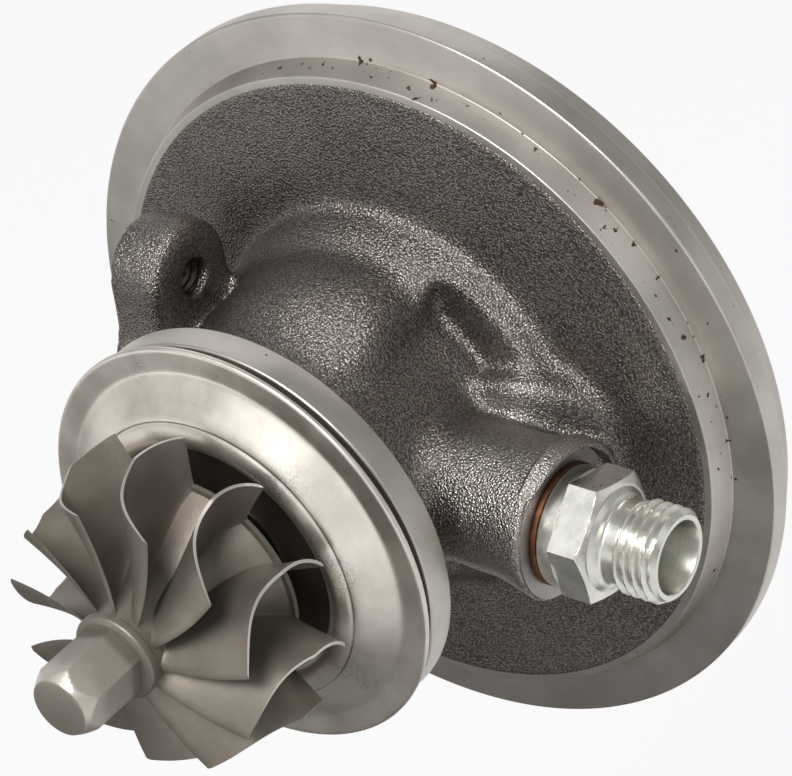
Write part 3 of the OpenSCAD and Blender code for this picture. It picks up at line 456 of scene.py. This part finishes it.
# Heat shield
# A stainless cup pressed from sheet, clamped between the flange's land and the turbine housing.
# It keeps the hot wheel's heat off the bearings, and its bright rolled ring is stained by heat.

def flowing(points, steps=5):
    """A smooth line through the given points."""
    p = [np.array(q, float) for q in points]
    p = [2 * p[0] - p[1]] + p + [2 * p[-1] - p[-2]]
    line = []
    for a, b, c, d in zip(p, p[1:], p[2:], p[3:]):
        for t in np.arange(steps) / steps:
            square, cube = (2 * a - 5 * b + 4 * c - d) * t ** 2, (3 * b - a - 3 * c + d) * t ** 3
            line.append(0.5 * (2 * b + (c - a) * t + square + cube))
    return line + [p[-2]]


# Front of the sheet from the lip inwards, as (radius, station)
SHIELD_RIM = [(32.5, 49.15), (32.5, 49.5), (32.4, 49.72), (32.2, 49.84)]
SHIELD_CONE = [
    (31.9, 49.87), (30.5, 49.87), (29.2, 49.88), (28.7, 49.95), (28.3, 50.15), (27.7, 50.55), (26.7, 51.25),
    (25.5, 52.1), (24.5, 52.8), (23.8, 53.25), (23.3, 53.5), (23.05, 53.56), (22.9, 53.47)]
SHIELD_ROLL = [
    (22.72, 53.52), (22.3, 53.78), (21.7, 54.02), (21.0, 54.2), (20.4, 54.22), (19.8, 54.08), (19.2, 53.76),
    (18.7, 53.3), (18.4, 52.7), (18.25, 52.0), (17.95, 51.45), (17.4, 51.2)]
SHIELD_FLOOR, SHIELD_THICK = [(9.2, 51.0)], 0.7
SHIELD_DARK, SHIELD_LIGHT = (0.58, 0.53, 0.47), (0.74, 0.69, 0.63)
HEAT_STAIN, CUP_INSIDE_DARK = (0.24, 0.23, 0.25), (0.13, 0.10, 0.078)


def sheet_outline(front, thickness):
    """Front line, then the same line set back by the sheet's thickness."""
    line = np.array(front)
    along = np.gradient(line, axis=0)
    normal = np.stack([-along[:, 1], along[:, 0]], 1) / np.linalg.norm(along, axis=1)[:, None]
    return [tuple(p) for p in line] + [tuple(p) for p in (line + normal * thickness)[::-1]]


def shield_finish():
    material, place = new_finish("pressed_stainless")
    x, y, z = parts_of(place)
    r = distance(x, z)
    marks = noise(vector_of(r, y, 0.0), 2.2, 3.0, 0.6)
    clouds = noise(place, 0.13, 4.0, 0.6)
    stain = noise(place, 0.10, 1.0).ramp(0.62, 0.72) * noise(place, 3.5, 2.0, 0.6).ramp(0.44, 0.66)
    colour = tint(SHIELD_DARK, SHIELD_LIGHT, (marks * 0.15 + clouds * 0.85).ramp(0.3, 0.7))
    colour = tint(colour, HEAT_STAIN, stain * 0.6)
    # The inside of the cup, around the wheel, is coloured darker
    inside_dark = (1 - r.ramp(18.2, 19.8)) * (1 - (0 - y).ramp(51.4, 54.4))
    return fill(material, base_color=tint(colour, CUP_INSIDE_DARK, inside_dark), metallic=1.0,
                roughness=0.34 + (clouds - 0.4) * 0.2 + inside_dark * 0.15,
                normal=bumped(marks * 0.3 + clouds * 0.7, 0.006))


shield_front = SHIELD_RIM + flowing(SHIELD_CONE + SHIELD_ROLL) + SHIELD_FLOOR
shield_outline = sheet_outline(shield_front, SHIELD_THICK)
shield = turned("heat_shield_cup", shield_outline, shield_finish(), steps=320, sharp=40)
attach(shield, "housing")
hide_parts("heat_shield")


# Feed washer and adapter
# The adapter is turned from hexagon bar, threaded at both ends and zinc plated. A soft copper washer
# seals it on the spot face that is milled into the feed boss.

HEX_FLAT, HEX_TURN, HEX_START, HEX_END = 8.5, math.radians(44.7), 42.7, 47.9


def across_feed(r, turn, x):
    """A point at a radius and an angle about the feed axis, in metres."""
    return x / 1000, (r * math.cos(turn) - FEED_STATION) / 1000, r * math.sin(turn) / 1000


def feed_turned(name, outline, finish, steps=160, shape=None, sharp=32):
    """A closed outline of (radius, x) turned round the feed axis; shape may alter each radius."""
    change = shape or (lambda r, t, x: r)
    turns = full_turn(steps) + HEX_TURN
    rings = [[across_feed(change(r, t, x), t, x) for t in turns] for r, x in outline]
    return grid_piece(name, rings, finish, sharp=sharp)


def feed_finish(name, dark, light, rough):
    """Metal turned about the feed axis, with its tool marks and dull patches."""
    material, place = new_finish(name)
    x, y, z = parts_of(place)
    off = distance(y + FEED_STATION, z)
    marks = noise(vector_of(off, x, 0.0), 4.0, 2.0, 0.6)
    patches = noise(place, 0.35, 3.0, 0.6)
    colour = tint(dark, light, (marks * 0.3 + patches * 0.7).ramp(0.32, 0.68))
    return fill(material, base_color=colour, metallic=1.0, roughness=rough + (patches - 0.5) * 0.14,
                normal=bumped(marks, 0.01))


SPOT_R, SPOT_BORE, SPOT_BACK = 11.0, 6.05, 38.4
milled_iron = feed_finish("milled_spot", (0.27, 0.25, 0.245), (0.38, 0.355, 0.35), 0.42)
spot_face = feed_turned("feed_spot_face", eased([
    (SPOT_BORE, SPOT_BACK, 0), (SPOT_BORE, FEED_FACE, 0.1), (SPOT_R, FEED_FACE, 0), (SPOT_R, SPOT_BACK, 0)]),
    milled_iron)
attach(spot_face, "housing")
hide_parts("bearing_housing")

# Lip of the casting around the spot face, as (radius, x from the face, share of the lip's height)
LIP_LINE = [(11.25, -1.0, 0), (11.25, 0.0, 1), (11.45, 0.1, 1), (11.9, 0.05, 1), (12.3, -0.4, 0.8),
            (12.6, -1.4, 0.3), (10.8, -3.0, 0)]
LIP_HEIGHT, LIP_TURN, LIP_SINK, LIP_SHRINK, LIP_FLANK_R = 1.5, 0.85, 0.6, 1.5, 11.6


def lip_height(turn):
    """How far the casting stands up around the sunk spot face: most at its upper side."""
    return LIP_HEIGHT * max(0.0, math.sin(turn + LIP_TURN) + 0.25) ** 0.8 - 0.1


def lip_ring(r, dx, rise):
    ring = []
    for t in full_turn(160):
        height = lip_height(t)
        missing = 1 - min(1.0, max(0.0, height))
        shrunk = r - LIP_SHRINK * missing * (r > LIP_FLANK_R)
        ring.append(across_feed(shrunk, t, FEED_FACE + dx + height * rise - LIP_SINK * missing))
    return ring


lip = grid_piece("feed_boss_lip", [lip_ring(*corner) for corner in LIP_LINE], cast_skin)
# The lip's sunk half folds under the face and misleads the facing, so the standing half is turned out
lip.data.flip_normals()
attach(lip, "housing")
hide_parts("bearing_housing")

WASHER_BORE, WASHER_R, WASHER_TOP = 6.05, 8.95, 40.2
copper = feed_finish("browned_copper", (0.075, 0.036, 0.02), (0.21, 0.096, 0.046), 0.5)
washer = feed_turned("feed_copper_washer", eased([
    (WASHER_BORE, FEED_FACE, 0.1), (WASHER_BORE, WASHER_TOP, 0.1), (WASHER_R, WASHER_TOP, 0.2),
    (WASHER_R, FEED_FACE, 0.2)]), copper)
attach(washer, "housing")
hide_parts("feed_washer")

THREAD_R, THREAD_ROOT, THREAD_PITCH, THREAD_START, THREAD_END = 7.0, 6.1, 1.5, 50.9, 57.8
BEVEL, HEX_BLANK_R, HEX_CORNER_R = 0.75, 9.95, 9.9


def hex_r(turn, flat, corner_turn, corner_ease=0.06):
    """Radius of a hexagon with the given flat, with slightly eased corners."""
    off = (turn - corner_turn) % (math.pi / 3) - math.pi / 6
    return flat / math.cos(off) - corner_ease * (abs(off) / (math.pi / 6)) ** 12


def adapter_shape(r, turn, x):
    """Gives the plain outline its hexagon with a bevelled end, and its thread."""
    if r > 9.5 and HEX_START - 0.01 <= x <= HEX_END + 0.01:
        bevelled = HEX_CORNER_R - max(0.0, x - (HEX_END - BEVEL)) / BEVEL * 2.0
        return min(hex_r(turn, HEX_FLAT, HEX_TURN), bevelled)
    if THREAD_START <= x <= THREAD_END and r > 6.0:
        crest = min(1.0, max(0.0, thread_wave(x, turn, THREAD_PITCH) * 1.25 - 0.12))
        lead = min(1.0, (x - THREAD_START) / 0.9)
        bevelled = THREAD_R - max(0.0, x - (THREAD_END - BEVEL))
        return min(THREAD_ROOT + (THREAD_R - THREAD_ROOT) * crest * lead, bevelled)
    return r


def adapter_outline():
    line = [(5.9, 28.8), (5.9, WASHER_TOP)]
    line += eased([(5.9, WASHER_TOP, 0), (8.8, WASHER_TOP, 0.3), (8.8, HEX_START, 0)])[1:]
    line += [(HEX_BLANK_R, x) for x in np.linspace(HEX_START, 46.9, 5)]
    line += [(HEX_BLANK_R, x) for x in np.linspace(47.0, HEX_END, 20)]
    line += eased([(7.6, HEX_END, 0), (6.9, 48.5, 0.5), (6.05, 49.0, 0.7), (6.05, THREAD_START, 0)])
    line += [(THREAD_R, x) for x in np.linspace(THREAD_START, THREAD_END, 78)]
    return line + [(6.1, 58.0), (5.95, 58.0), (5.45, 58.0), (5.35, 57.9), (3.0, 46.7), (3.0, 28.8)]


zinc = feed_finish("zinc_plating", (0.60, 0.595, 0.545), (0.76, 0.755, 0.70), 0.29)
adapter = feed_turned("feed_adapter_turned", adapter_outline(), zinc, steps=192, shape=adapter_shape, sharp=28)
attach(adapter, "housing")
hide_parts("feed_adapter")


# Turbine wheel
# One investment casting in nickel alloy with eleven blades, welded to the shaft. Its skin is dull and
# warm grey, and only the ground shroud edges and the wrench flats of the nose are bright.

WHEEL_BACK, WHEEL_LENGTH, INDUCER_END, HUB_END = 57.0, 17.2, 63.8, 76.2
INDUCER_R, EXDUCER_R, HUB_NOSE_R, HUB_SWELL = 23.9, 21.0, 6.4, 9.3
TURBINE_BLADES, BLADE_START, INDUCER_LEAN, EXDUCER_TURN = 11, 96, 8.2, 25.6
BLADE_ROOT, BLADE_TIP, BLADE_FILLET, BLADE_SHARP = 0.85, 0.48, 1.4, 40


def blade_turn(station):
    u = min(max((station - WHEEL_BACK) / WHEEL_LENGTH, 0.0), 1.1)
    return math.radians(BLADE_START - INDUCER_LEAN * max(0.0, 1 - u) ** 7 - EXDUCER_TURN * u ** 5)


def wheel_hub_r(station):
    left = max(0.0, (HUB_END - station) / (HUB_END - WHEEL_BACK))
    return HUB_NOSE_R + HUB_SWELL * left ** 2.2


def shroud_r(station):
    if station <= INDUCER_END:
        return INDUCER_R
    left = max(0.0, WHEEL_BACK + WHEEL_LENGTH - station) / (WHEEL_BACK + WHEEL_LENGTH - INDUCER_END)
    return EXDUCER_R + (INDUCER_R - EXDUCER_R) * left ** 1.6


def half_thickness(r, station, share, span):
    """Half the blade's thickness as an angle: thin at the tip, with a fillet into the hub."""
    thick = BLADE_ROOT + (BLADE_TIP - BLADE_ROOT) * share ** 0.6
    thick += BLADE_FILLET * math.exp(-share * span / 0.6)
    thick *= 1 - 0.45 * ((station - WHEEL_BACK) / WHEEL_LENGTH) ** 4
    slope = (blade_turn(station + 0.1) - blade_turn(station - 0.1)) / 0.2 * r
    return thick / 2 / r * math.sqrt(1 + slope * slope)


def turbine_blade_points(rows, cols):
    """Points of both sides of one blade, from its back edge to its exducer edge."""
    points = []
    for side in (-1, 1):
        for i in range(rows + 1):
            shroud = WHEEL_BACK + WHEEL_LENGTH * i / rows
            root = WHEEL_BACK + (WHEEL_LENGTH + 1.5) * i / rows
            r0, r1 = wheel_hub_r(root) - 0.5, shroud_r(shroud)
            for j in range(cols + 1):
                share = (j / cols) ** 1.25
                station, r = root + (shroud - root) * share, r0 + (r1 - r0) * share
                turn = blade_turn(station) + side * half_thickness(r, station, share, r1 - r0)
                points.append(about_rotor(r, turn, station))
    return points


def blade_skin(rows, cols, first=0):
    """Faces over the two sides of a blade, closed along the edge, and which of them are its tip."""
    step, count = cols + 1, (rows + 1) * (cols + 1)
    faces = [(k, k + 1, k + step + 1, k + step) for base in (0, count) for i in range(rows)
             for k in range(base + i * step, base + i * step + cols)]
    tips = [False] * len(faces)
    edge = [i * step for i in range(rows + 1)] + [rows * step + j for j in range(1, step)]
    edge += [i * step + cols for i in range(rows - 1, -1, -1)] + list(range(cols - 1, 0, -1))
    for a, b in zip(edge, edge[1:] + edge[:1]):
        faces.append((a, b, b + count, a + count))
        tips.append(a % step == cols and b % step == cols)
    return [tuple(k + first for k in face) for face in faces], tips


def blade_mesh(name, points, faces, tips):
    """A blade's mesh with its faces outwards and its ground tip in an attribute of its own."""
    mesh = bpy.data.meshes.new(name)
    mesh.from_pydata(points, [], faces)
    mesh.attributes.new("tip", "BOOLEAN", "FACE").data.foreach_set("value", tips)
    outward(mesh)
    return mesh


def blade_tree():
    """Sets blades round the rotor axis, then gives them the cast finish and the ground tips theirs."""
    wire, ask = tree_of("blade_ring", {
        "Blade": "Geometry", "Count": "Int", "Cast": "Material", "Ground": "Material"})
    points = wire.node("GeometryNodePoints", {"Count": ask["Count"]})
    turn = wire.node("GeometryNodeInputIndex") * (2 * math.pi / ask["Count"])
    ring = wire.node("GeometryNodeInstanceOnPoints", {
        "Points": points, "Instance": ask["Blade"], "Rotation": vector_of(0.0, turn, 0.0)})
    whole = wire.node("GeometryNodeRealizeInstances", {"Geometry": ring})
    cast = wire.node("GeometryNodeSetMaterial", {"Geometry": whole, "Material": ask["Cast"]})
    tip = wire.node("GeometryNodeInputNamedAttribute", {"Name": "tip"}, data_type="BOOLEAN")
    ground = wire.node("GeometryNodeSetMaterial", {
        "Geometry": cast, "Selection": tip, "Material": ask["Ground"]})
    wire.node("NodeGroupOutput", (ground,))
    return wire.tree


def set_blades(name, start, count, cast, ground):
    made = plain_mesh(name, blade_ring, {"Count": count, "Cast": cast, "Ground": ground}, start)
    made.data.shade_smooth()
    made.data.set_sharp_from_angle(angle=math.radians(BLADE_SHARP))
    return made


def wheel_finish():
    material, place = new_finish("nickel_casting")
    grain = noise(place, 2.6, 2.0, 0.55)
    clouds = noise(place, 0.14, 3.0)
    share = clouds.ramp(0.3, 0.7) * 0.7 + grain * 0.3
    colour = tint((0.172, 0.147, 0.121), (0.245, 0.216, 0.182), share)
    # The wrench flats of the nose are rubbed bright, most of all towards its end
    station = 0 - parts_of(place)[1]
    worn = (station + noise(place, 0.25) * 6.0).ramp(86.5, 91.5)
    rubbed = station.ramp(79.0, 80.5) * (0.5 + worn * 0.5) * (1 - station.ramp(89.2, 89.5) * 0.8)
    return fill(material, base_color=tint(colour, (0.52, 0.475, 0.425), rubbed), metallic=0.7,
                roughness=0.48 + (grain - 0.5) * 0.1 - rubbed * 0.1, normal=bumped(grain, 0.03))


wheel_skin = wheel_finish()
ground_edge = turned_finish("ground_edge", (0.50, 0.475, 0.435), (0.66, 0.63, 0.585), 0.38)
blade_ring = blade_tree()
turbine_blade = blade_mesh("turbine_blade", turbine_blade_points(44, 20), *blade_skin(44, 20))
blades = set_blades("turbine_blades", turbine_blade, TURBINE_BLADES, wheel_skin, ground_edge)


def hub_outline():
    line = [(0.05, 52.0), (8.0, 52.0), (8.0, 56.4), (15.5, 56.4), (15.9, 56.7), (15.9, 57.4)]
    line += [(wheel_hub_r(s), s) for s in np.linspace(57.5, HUB_END, 40)]
    line += eased([(6.3, HUB_END, 0), (6.75, HUB_END + 0.15, 0.25), (6.75, 77.6, 0.45), (5.9, 77.9, 0.3),
                   (4.8, 78.0, 0)])
    return line + [(0.05, 78.0)]


hub = turned("turbine_hub", hub_outline(), wheel_skin, steps=192)

NOSE_FLAT, NOSE_TURN, NOSE_EASE = 4.9, math.radians(20), 0.04
NOSE_START, NOSE_END, NOSE_TIP_R, NOSE_CONE_R, NOSE_CONE = 77.6, 89.6, 4.3, 5.96, 3.0


def nose_ring(widest, station):
    cone = NOSE_TIP_R + (NOSE_END - station) * (NOSE_CONE_R - NOSE_TIP_R) / NOSE_CONE
    return [about_rotor(min(widest, cone, hex_r(t, NOSE_FLAT, NOSE_TURN, NOSE_EASE)), t, station)
            for t in full_turn(192) + NOSE_TURN]


nose_line = [(0.05, NOSE_START)] + [(9.0, s) for s in np.linspace(NOSE_START, 89.4, 47)]
nose_line += [(3.9, NOSE_END), (0.05, NOSE_END)]
nose = grid_piece("turbine_nose", [nose_ring(*corner) for corner in nose_line], wheel_skin, sharp=24)
for piece in (blades, hub, nose):
    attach(piece, "rotor")
    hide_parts("turbine_wheel")


# Shaft, bearings, seals and seal plate
# The pieces inside keep their CAD shapes. Ground steel, bearing bronze, spring steel, ring iron,
# pressed sheet, blackened screws and rubber each get their own finish with its marks.

def finish_nodes(finish, *names):
    for name in names:
        mesh = frame["nodes"][name].data
        mesh.materials.clear()
        mesh.materials.append(finish)


def moulded_rubber():
    material, place = new_finish("moulded_rubber")
    grain = noise(place, 3.0)
    return fill(material, base_color=tint((0.012, 0.012, 0.012), (0.035, 0.033, 0.032), grain),
                roughness=0.45 + grain * 0.2, normal=bumped(grain, 0.02))


ground_steel = turned_finish("ground_steel", (0.50, 0.49, 0.475), (0.66, 0.65, 0.635), 0.24, mark=0.003)
bronze = turned_finish("bearing_bronze", (0.46, 0.29, 0.115), (0.66, 0.46, 0.20), 0.32)
spring_steel = turned_finish("spring_steel", (0.24, 0.235, 0.235), (0.36, 0.35, 0.345), 0.34)
ring_iron = turned_finish("ring_iron", (0.30, 0.28, 0.26), (0.42, 0.40, 0.375), 0.38)
pressed_sheet = turned_finish("pressed_sheet", (0.42, 0.41, 0.40), (0.56, 0.55, 0.535), 0.36)
plate_iron = turned_finish("plate_iron", (0.42, 0.40, 0.375), (0.56, 0.535, 0.505), 0.34, mark=0.006)
black_oxide = turned_finish("black_oxide", (0.035, 0.034, 0.036), (0.08, 0.078, 0.08), 0.36)
finish_nodes(ground_steel, "rotor_shaft", "thrust_spacer", "inner_thrust_washer", "outer_thrust_washer",
             "oil_slinger", "thrust_dowels")
finish_nodes(bronze, "turbine_journal_bush", "compressor_journal_bush", "thrust_bearing")
finish_nodes(spring_steel, "turbine_bush_outer_clip", "turbine_bush_inner_clip", "compressor_bush_inner_clip",
             "compressor_bush_outer_clip")
finish_nodes(ring_iron, "turbine_seal_ring", "compressor_seal_ring")
finish_nodes(pressed_sheet, "oil_deflector")
finish_nodes(plate_iron, "seal_plate")
finish_nodes(black_oxide, "seal_plate_screws")
finish_nodes(moulded_rubber(), "seal_plate_o_ring")


# Compressor wheel and nut
# An aluminium casting with six full blades and six splitters, clamped on the shaft by a blackened
# nut. The bore, the back and the nose are turned, and the rest keeps a fine satin skin.

# Flow lines as (radius at the lead, gain of radius, station of the lead, station of the back)
FLOW_HUB, FLOW_SHROUD = (7.0, 18.2, -27.0, -6.4), (18.5, 6.7, -27.0, -10.0)
FULL_BLADES, SPLITTER_START = 6, 0.34
FLOW_WRAP, FLOW_SWEEP, FLOW_LENGTH, ROOT_SINK = 42, 14, 32, np.array((0.4, -0.2))


def flow_point(line, s):
    """Radius and station at a share s of a quarter-ellipse flow line."""
    inner, gain, lead, back = line
    return inner + gain * (1 - math.cos(s * math.pi / 2)), lead + (back - lead) * math.sin(s * math.pi / 2)


def flow_turn(s):
    return math.radians(-FLOW_WRAP * (1 - (1 - s) ** 2) - FLOW_SWEEP * s ** 3)


def flow_blade_points(first, turn_by, rows, cols):
    """Points of both sides of one blade from its leading edge at share first to the wheel's rim."""
    points = []
    for side in (-1, 1):
        for i in range(rows + 1):
            s = first + (1 - first) * i / rows
            lead_in = min(1.0, 0.35 + 3.0 * i / rows)
            hub_end, shroud_end = np.array(flow_point(FLOW_HUB, s)), np.array(flow_point(FLOW_SHROUD, s))
            for j in range(cols + 1):
                share = (j / cols) ** 1.2
                r, station = hub_end + (shroud_end - hub_end) * share - ROOT_SINK * (j == 0)
                thick = 1.2 - 0.65 * share ** 0.7 + 0.9 * math.exp(-share * 9)
                thick *= (1 + 0.4 * (1 - s)) * lead_in
                slope = math.radians(2 * FLOW_WRAP * (1 - s) + 3 * FLOW_SWEEP * s * s) * r / FLOW_LENGTH
                turn = flow_turn(s) + turn_by + side * thick / 2 / r * math.sqrt(1 + slope * slope)
                points.append(about_rotor(r, turn, station))
    return points


def blade_pair(rows=40, cols=14):
    """A full blade and a splitter, neither with a ground tip."""
    points, faces = [], []
    for first, turn_by in ((0.0, 0.0), (SPLITTER_START, math.pi / FULL_BLADES)):
        faces += blade_skin(rows, cols, len(points))[0]
        points += flow_blade_points(first, turn_by, rows, cols)
    return blade_mesh("compressor_blade_pair", points, faces, [False] * len(faces))


def satin_aluminium():
    material, place = new_finish("satin_aluminium")
    grain = noise(place, 3.4, 2.0, 0.55)
    clouds = noise(place, 0.16, 3.0)
    colour = tint((0.52, 0.525, 0.53), (0.68, 0.68, 0.68), clouds.ramp(0.3, 0.7) * 0.7 + grain * 0.3)
    return fill(material, base_color=colour, metallic=1.0, roughness=0.40 + (grain - 0.5) * 0.12,
                normal=bumped(grain, 0.02))


aluminium = satin_aluminium()
turned_aluminium = turned_finish("turned_aluminium", (0.58, 0.58, 0.58), (0.72, 0.72, 0.72), 0.30, mark=0.01)
compressor_blades = set_blades("compressor_blades", blade_pair(), FULL_BLADES, aluminium, turned_aluminium)

compressor_line = [(25.5, -5.5), (25.5, -6.3)] + [flow_point(FLOW_HUB, s) for s in np.linspace(1, 0, 40)]
compressor_line += eased([(7.0, -27.0, 0), (6.9, -28.4, 0.5), (6.1, -29.5, 0.5), (3.05, -29.5, 0.2),
                          (3.05, -5.5, 0)])[1:]
compressor_hub = turned("compressor_hub", compressor_line, turned_aluminium, steps=192)
for piece in (compressor_blades, compressor_hub):
    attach(piece, "rotor")
    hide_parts("compressor_wheel")

finish_nodes(black_oxide, "shaft_nut")


# Photographer's stage
# A pale floor below the part, eight round soft lamps around it, and a dark card below it that gives
# the metal its contrast. The camera is solved from the circles of rim and flange.

def studio():
    world = bpy.data.worlds.new("studio")
    bpy.context.scene.world = world
    world.use_nodes = True
    height = parts_of(Wire(world.node_tree).node("ShaderNodeTexCoord", out="Generated"))[2]
    room = tint((0.72, 0.72, 0.715), (0.40, 0.40, 0.395), height.size().ramp(0.10, 0.25))
    world.node_tree.links.new(room.socket, world.node_tree.nodes["Background"].inputs["Color"])


def soft_lamp(name, place, aim, size, brightness):
    """A round lamp whose face is as bright as the given level, where 1 is white."""
    data = bpy.data.lights.new(name, "AREA")
    data.shape, data.size = "DISK", size
    data.energy = brightness * math.pi * math.pi * size * size / 4
    lamp = bpy.data.objects.new(name, data)
    lamp.location = place
    lamp.rotation_euler = (Vector(aim) - Vector(place)).to_track_quat("-Z", "Y").to_euler()
    lamp.visible_camera = False
    bpy.context.scene.collection.objects.link(lamp)


def stage_sheet(name, low, high, height, finish):
    mesh = bpy.data.meshes.new(name)
    (x0, y0), (x1, y1) = low, high
    corners = [(x0, y0, height), (x1, y0, height), (x1, y1, height), (x0, y1, height)]
    mesh.from_pydata(corners, [], [(0, 1, 2, 3)])
    mesh.materials.append(finish)
    sheet = bpy.data.objects.new(name, mesh)
    bpy.context.scene.collection.objects.link(sheet)
    return sheet


def paint(name, colour):
    material = bpy.data.materials.new(name)
    material.use_nodes = True
    return fill(material, base_color=colour, roughness=0.9)


def floor_finish():
    """White paint that the camera and the metal see paler than its lighting, so the shadow stays faint."""
    material = paint("pale_floor", (0.82, 0.82, 0.81))
    tree = material.node_tree
    wire = Wire(tree)
    rays = wire.node("ShaderNodeLightPath").socket.node.outputs
    seen, mirrored, through = (
        Wire(tree, rays[kind]) for kind in ("Is Camera Ray", "Is Glossy Ray", "Is Transmission Ray"))
    share = (seen + mirrored + through).held() * 0.85
    glow = wire.node("ShaderNodeEmission", {"Color": (1, 1, 1, 1), "Strength": 1.0})
    paint_shader = Wire(tree, tree.nodes["Principled BSDF"].outputs[0])
    mixed = wire.node("ShaderNodeMixShader", (share, paint_shader, glow))
    tree.links.new(mixed.socket, tree.nodes["Material Output"].inputs["Surface"])
    return material


studio()
stage_sheet("studio_floor", (-3.0, -3.0), (3.0, 3.0), -0.30, floor_finish())
card = stage_sheet("dark_card", (-0.50, -0.45), (0.10, 0.03), -0.16, paint("dark_card", (0.16, 0.155, 0.15)))
card.visible_camera = card.visible_shadow = False

# Lamps as (name, place, size, brightness), in metres
LAMPS = (
    ("key_softbox", (0.10, -0.57, 0.69), 0.38, 20.0), ("left_softbox", (-0.50, -0.52, 0.60), 0.80, 0.5),
    ("back_softbox", (-0.45, 0.60, 0.50), 0.90, 0.7), ("right_softbox", (0.70, 0.0, 0.50), 0.50, 0.6),
    ("front_softbox", (0.0, -0.84, 0.33), 0.30, 2.0), ("front_fill", (0.30, -0.75, -0.02), 0.50, 0.5),
    ("collar_card", (-0.40, -0.62, -0.07), 0.35, 0.5), ("left_card", (-0.27, -0.20, -0.12), 0.30, 0.28))
for name, place, size, brightness in LAMPS:
    soft_lamp(name, place, (0, -0.03, 0), size, brightness)

CAMERA_PLACE, FOCAL_PIXELS, PHOTO_WIDTH = (0.2781, -0.3394, 0.2895), 3500, 792
CAMERA_AXES = Matrix(((0.8101, 0.5722, -0.1282), (-0.2358, 0.5181, 0.8222), (0.5369, -0.6358, 0.5546)))
camera_data = bpy.data.cameras.new("photo_camera")
camera_data.sensor_fit, camera_data.sensor_width = "HORIZONTAL", 36.0
camera_data.lens = 36.0 * FOCAL_PIXELS / PHOTO_WIDTH
camera_data.clip_start = 0.01
camera = bpy.data.objects.new("photo_camera", camera_data)
camera.matrix_world = Matrix.Translation(CAMERA_PLACE) @ CAMERA_AXES.transposed().to_4x4()
bpy.context.scene.collection.objects.link(camera)
bpy.context.scene.camera = camera
bpy.context.scene.view_settings.view_transform = "Standard"
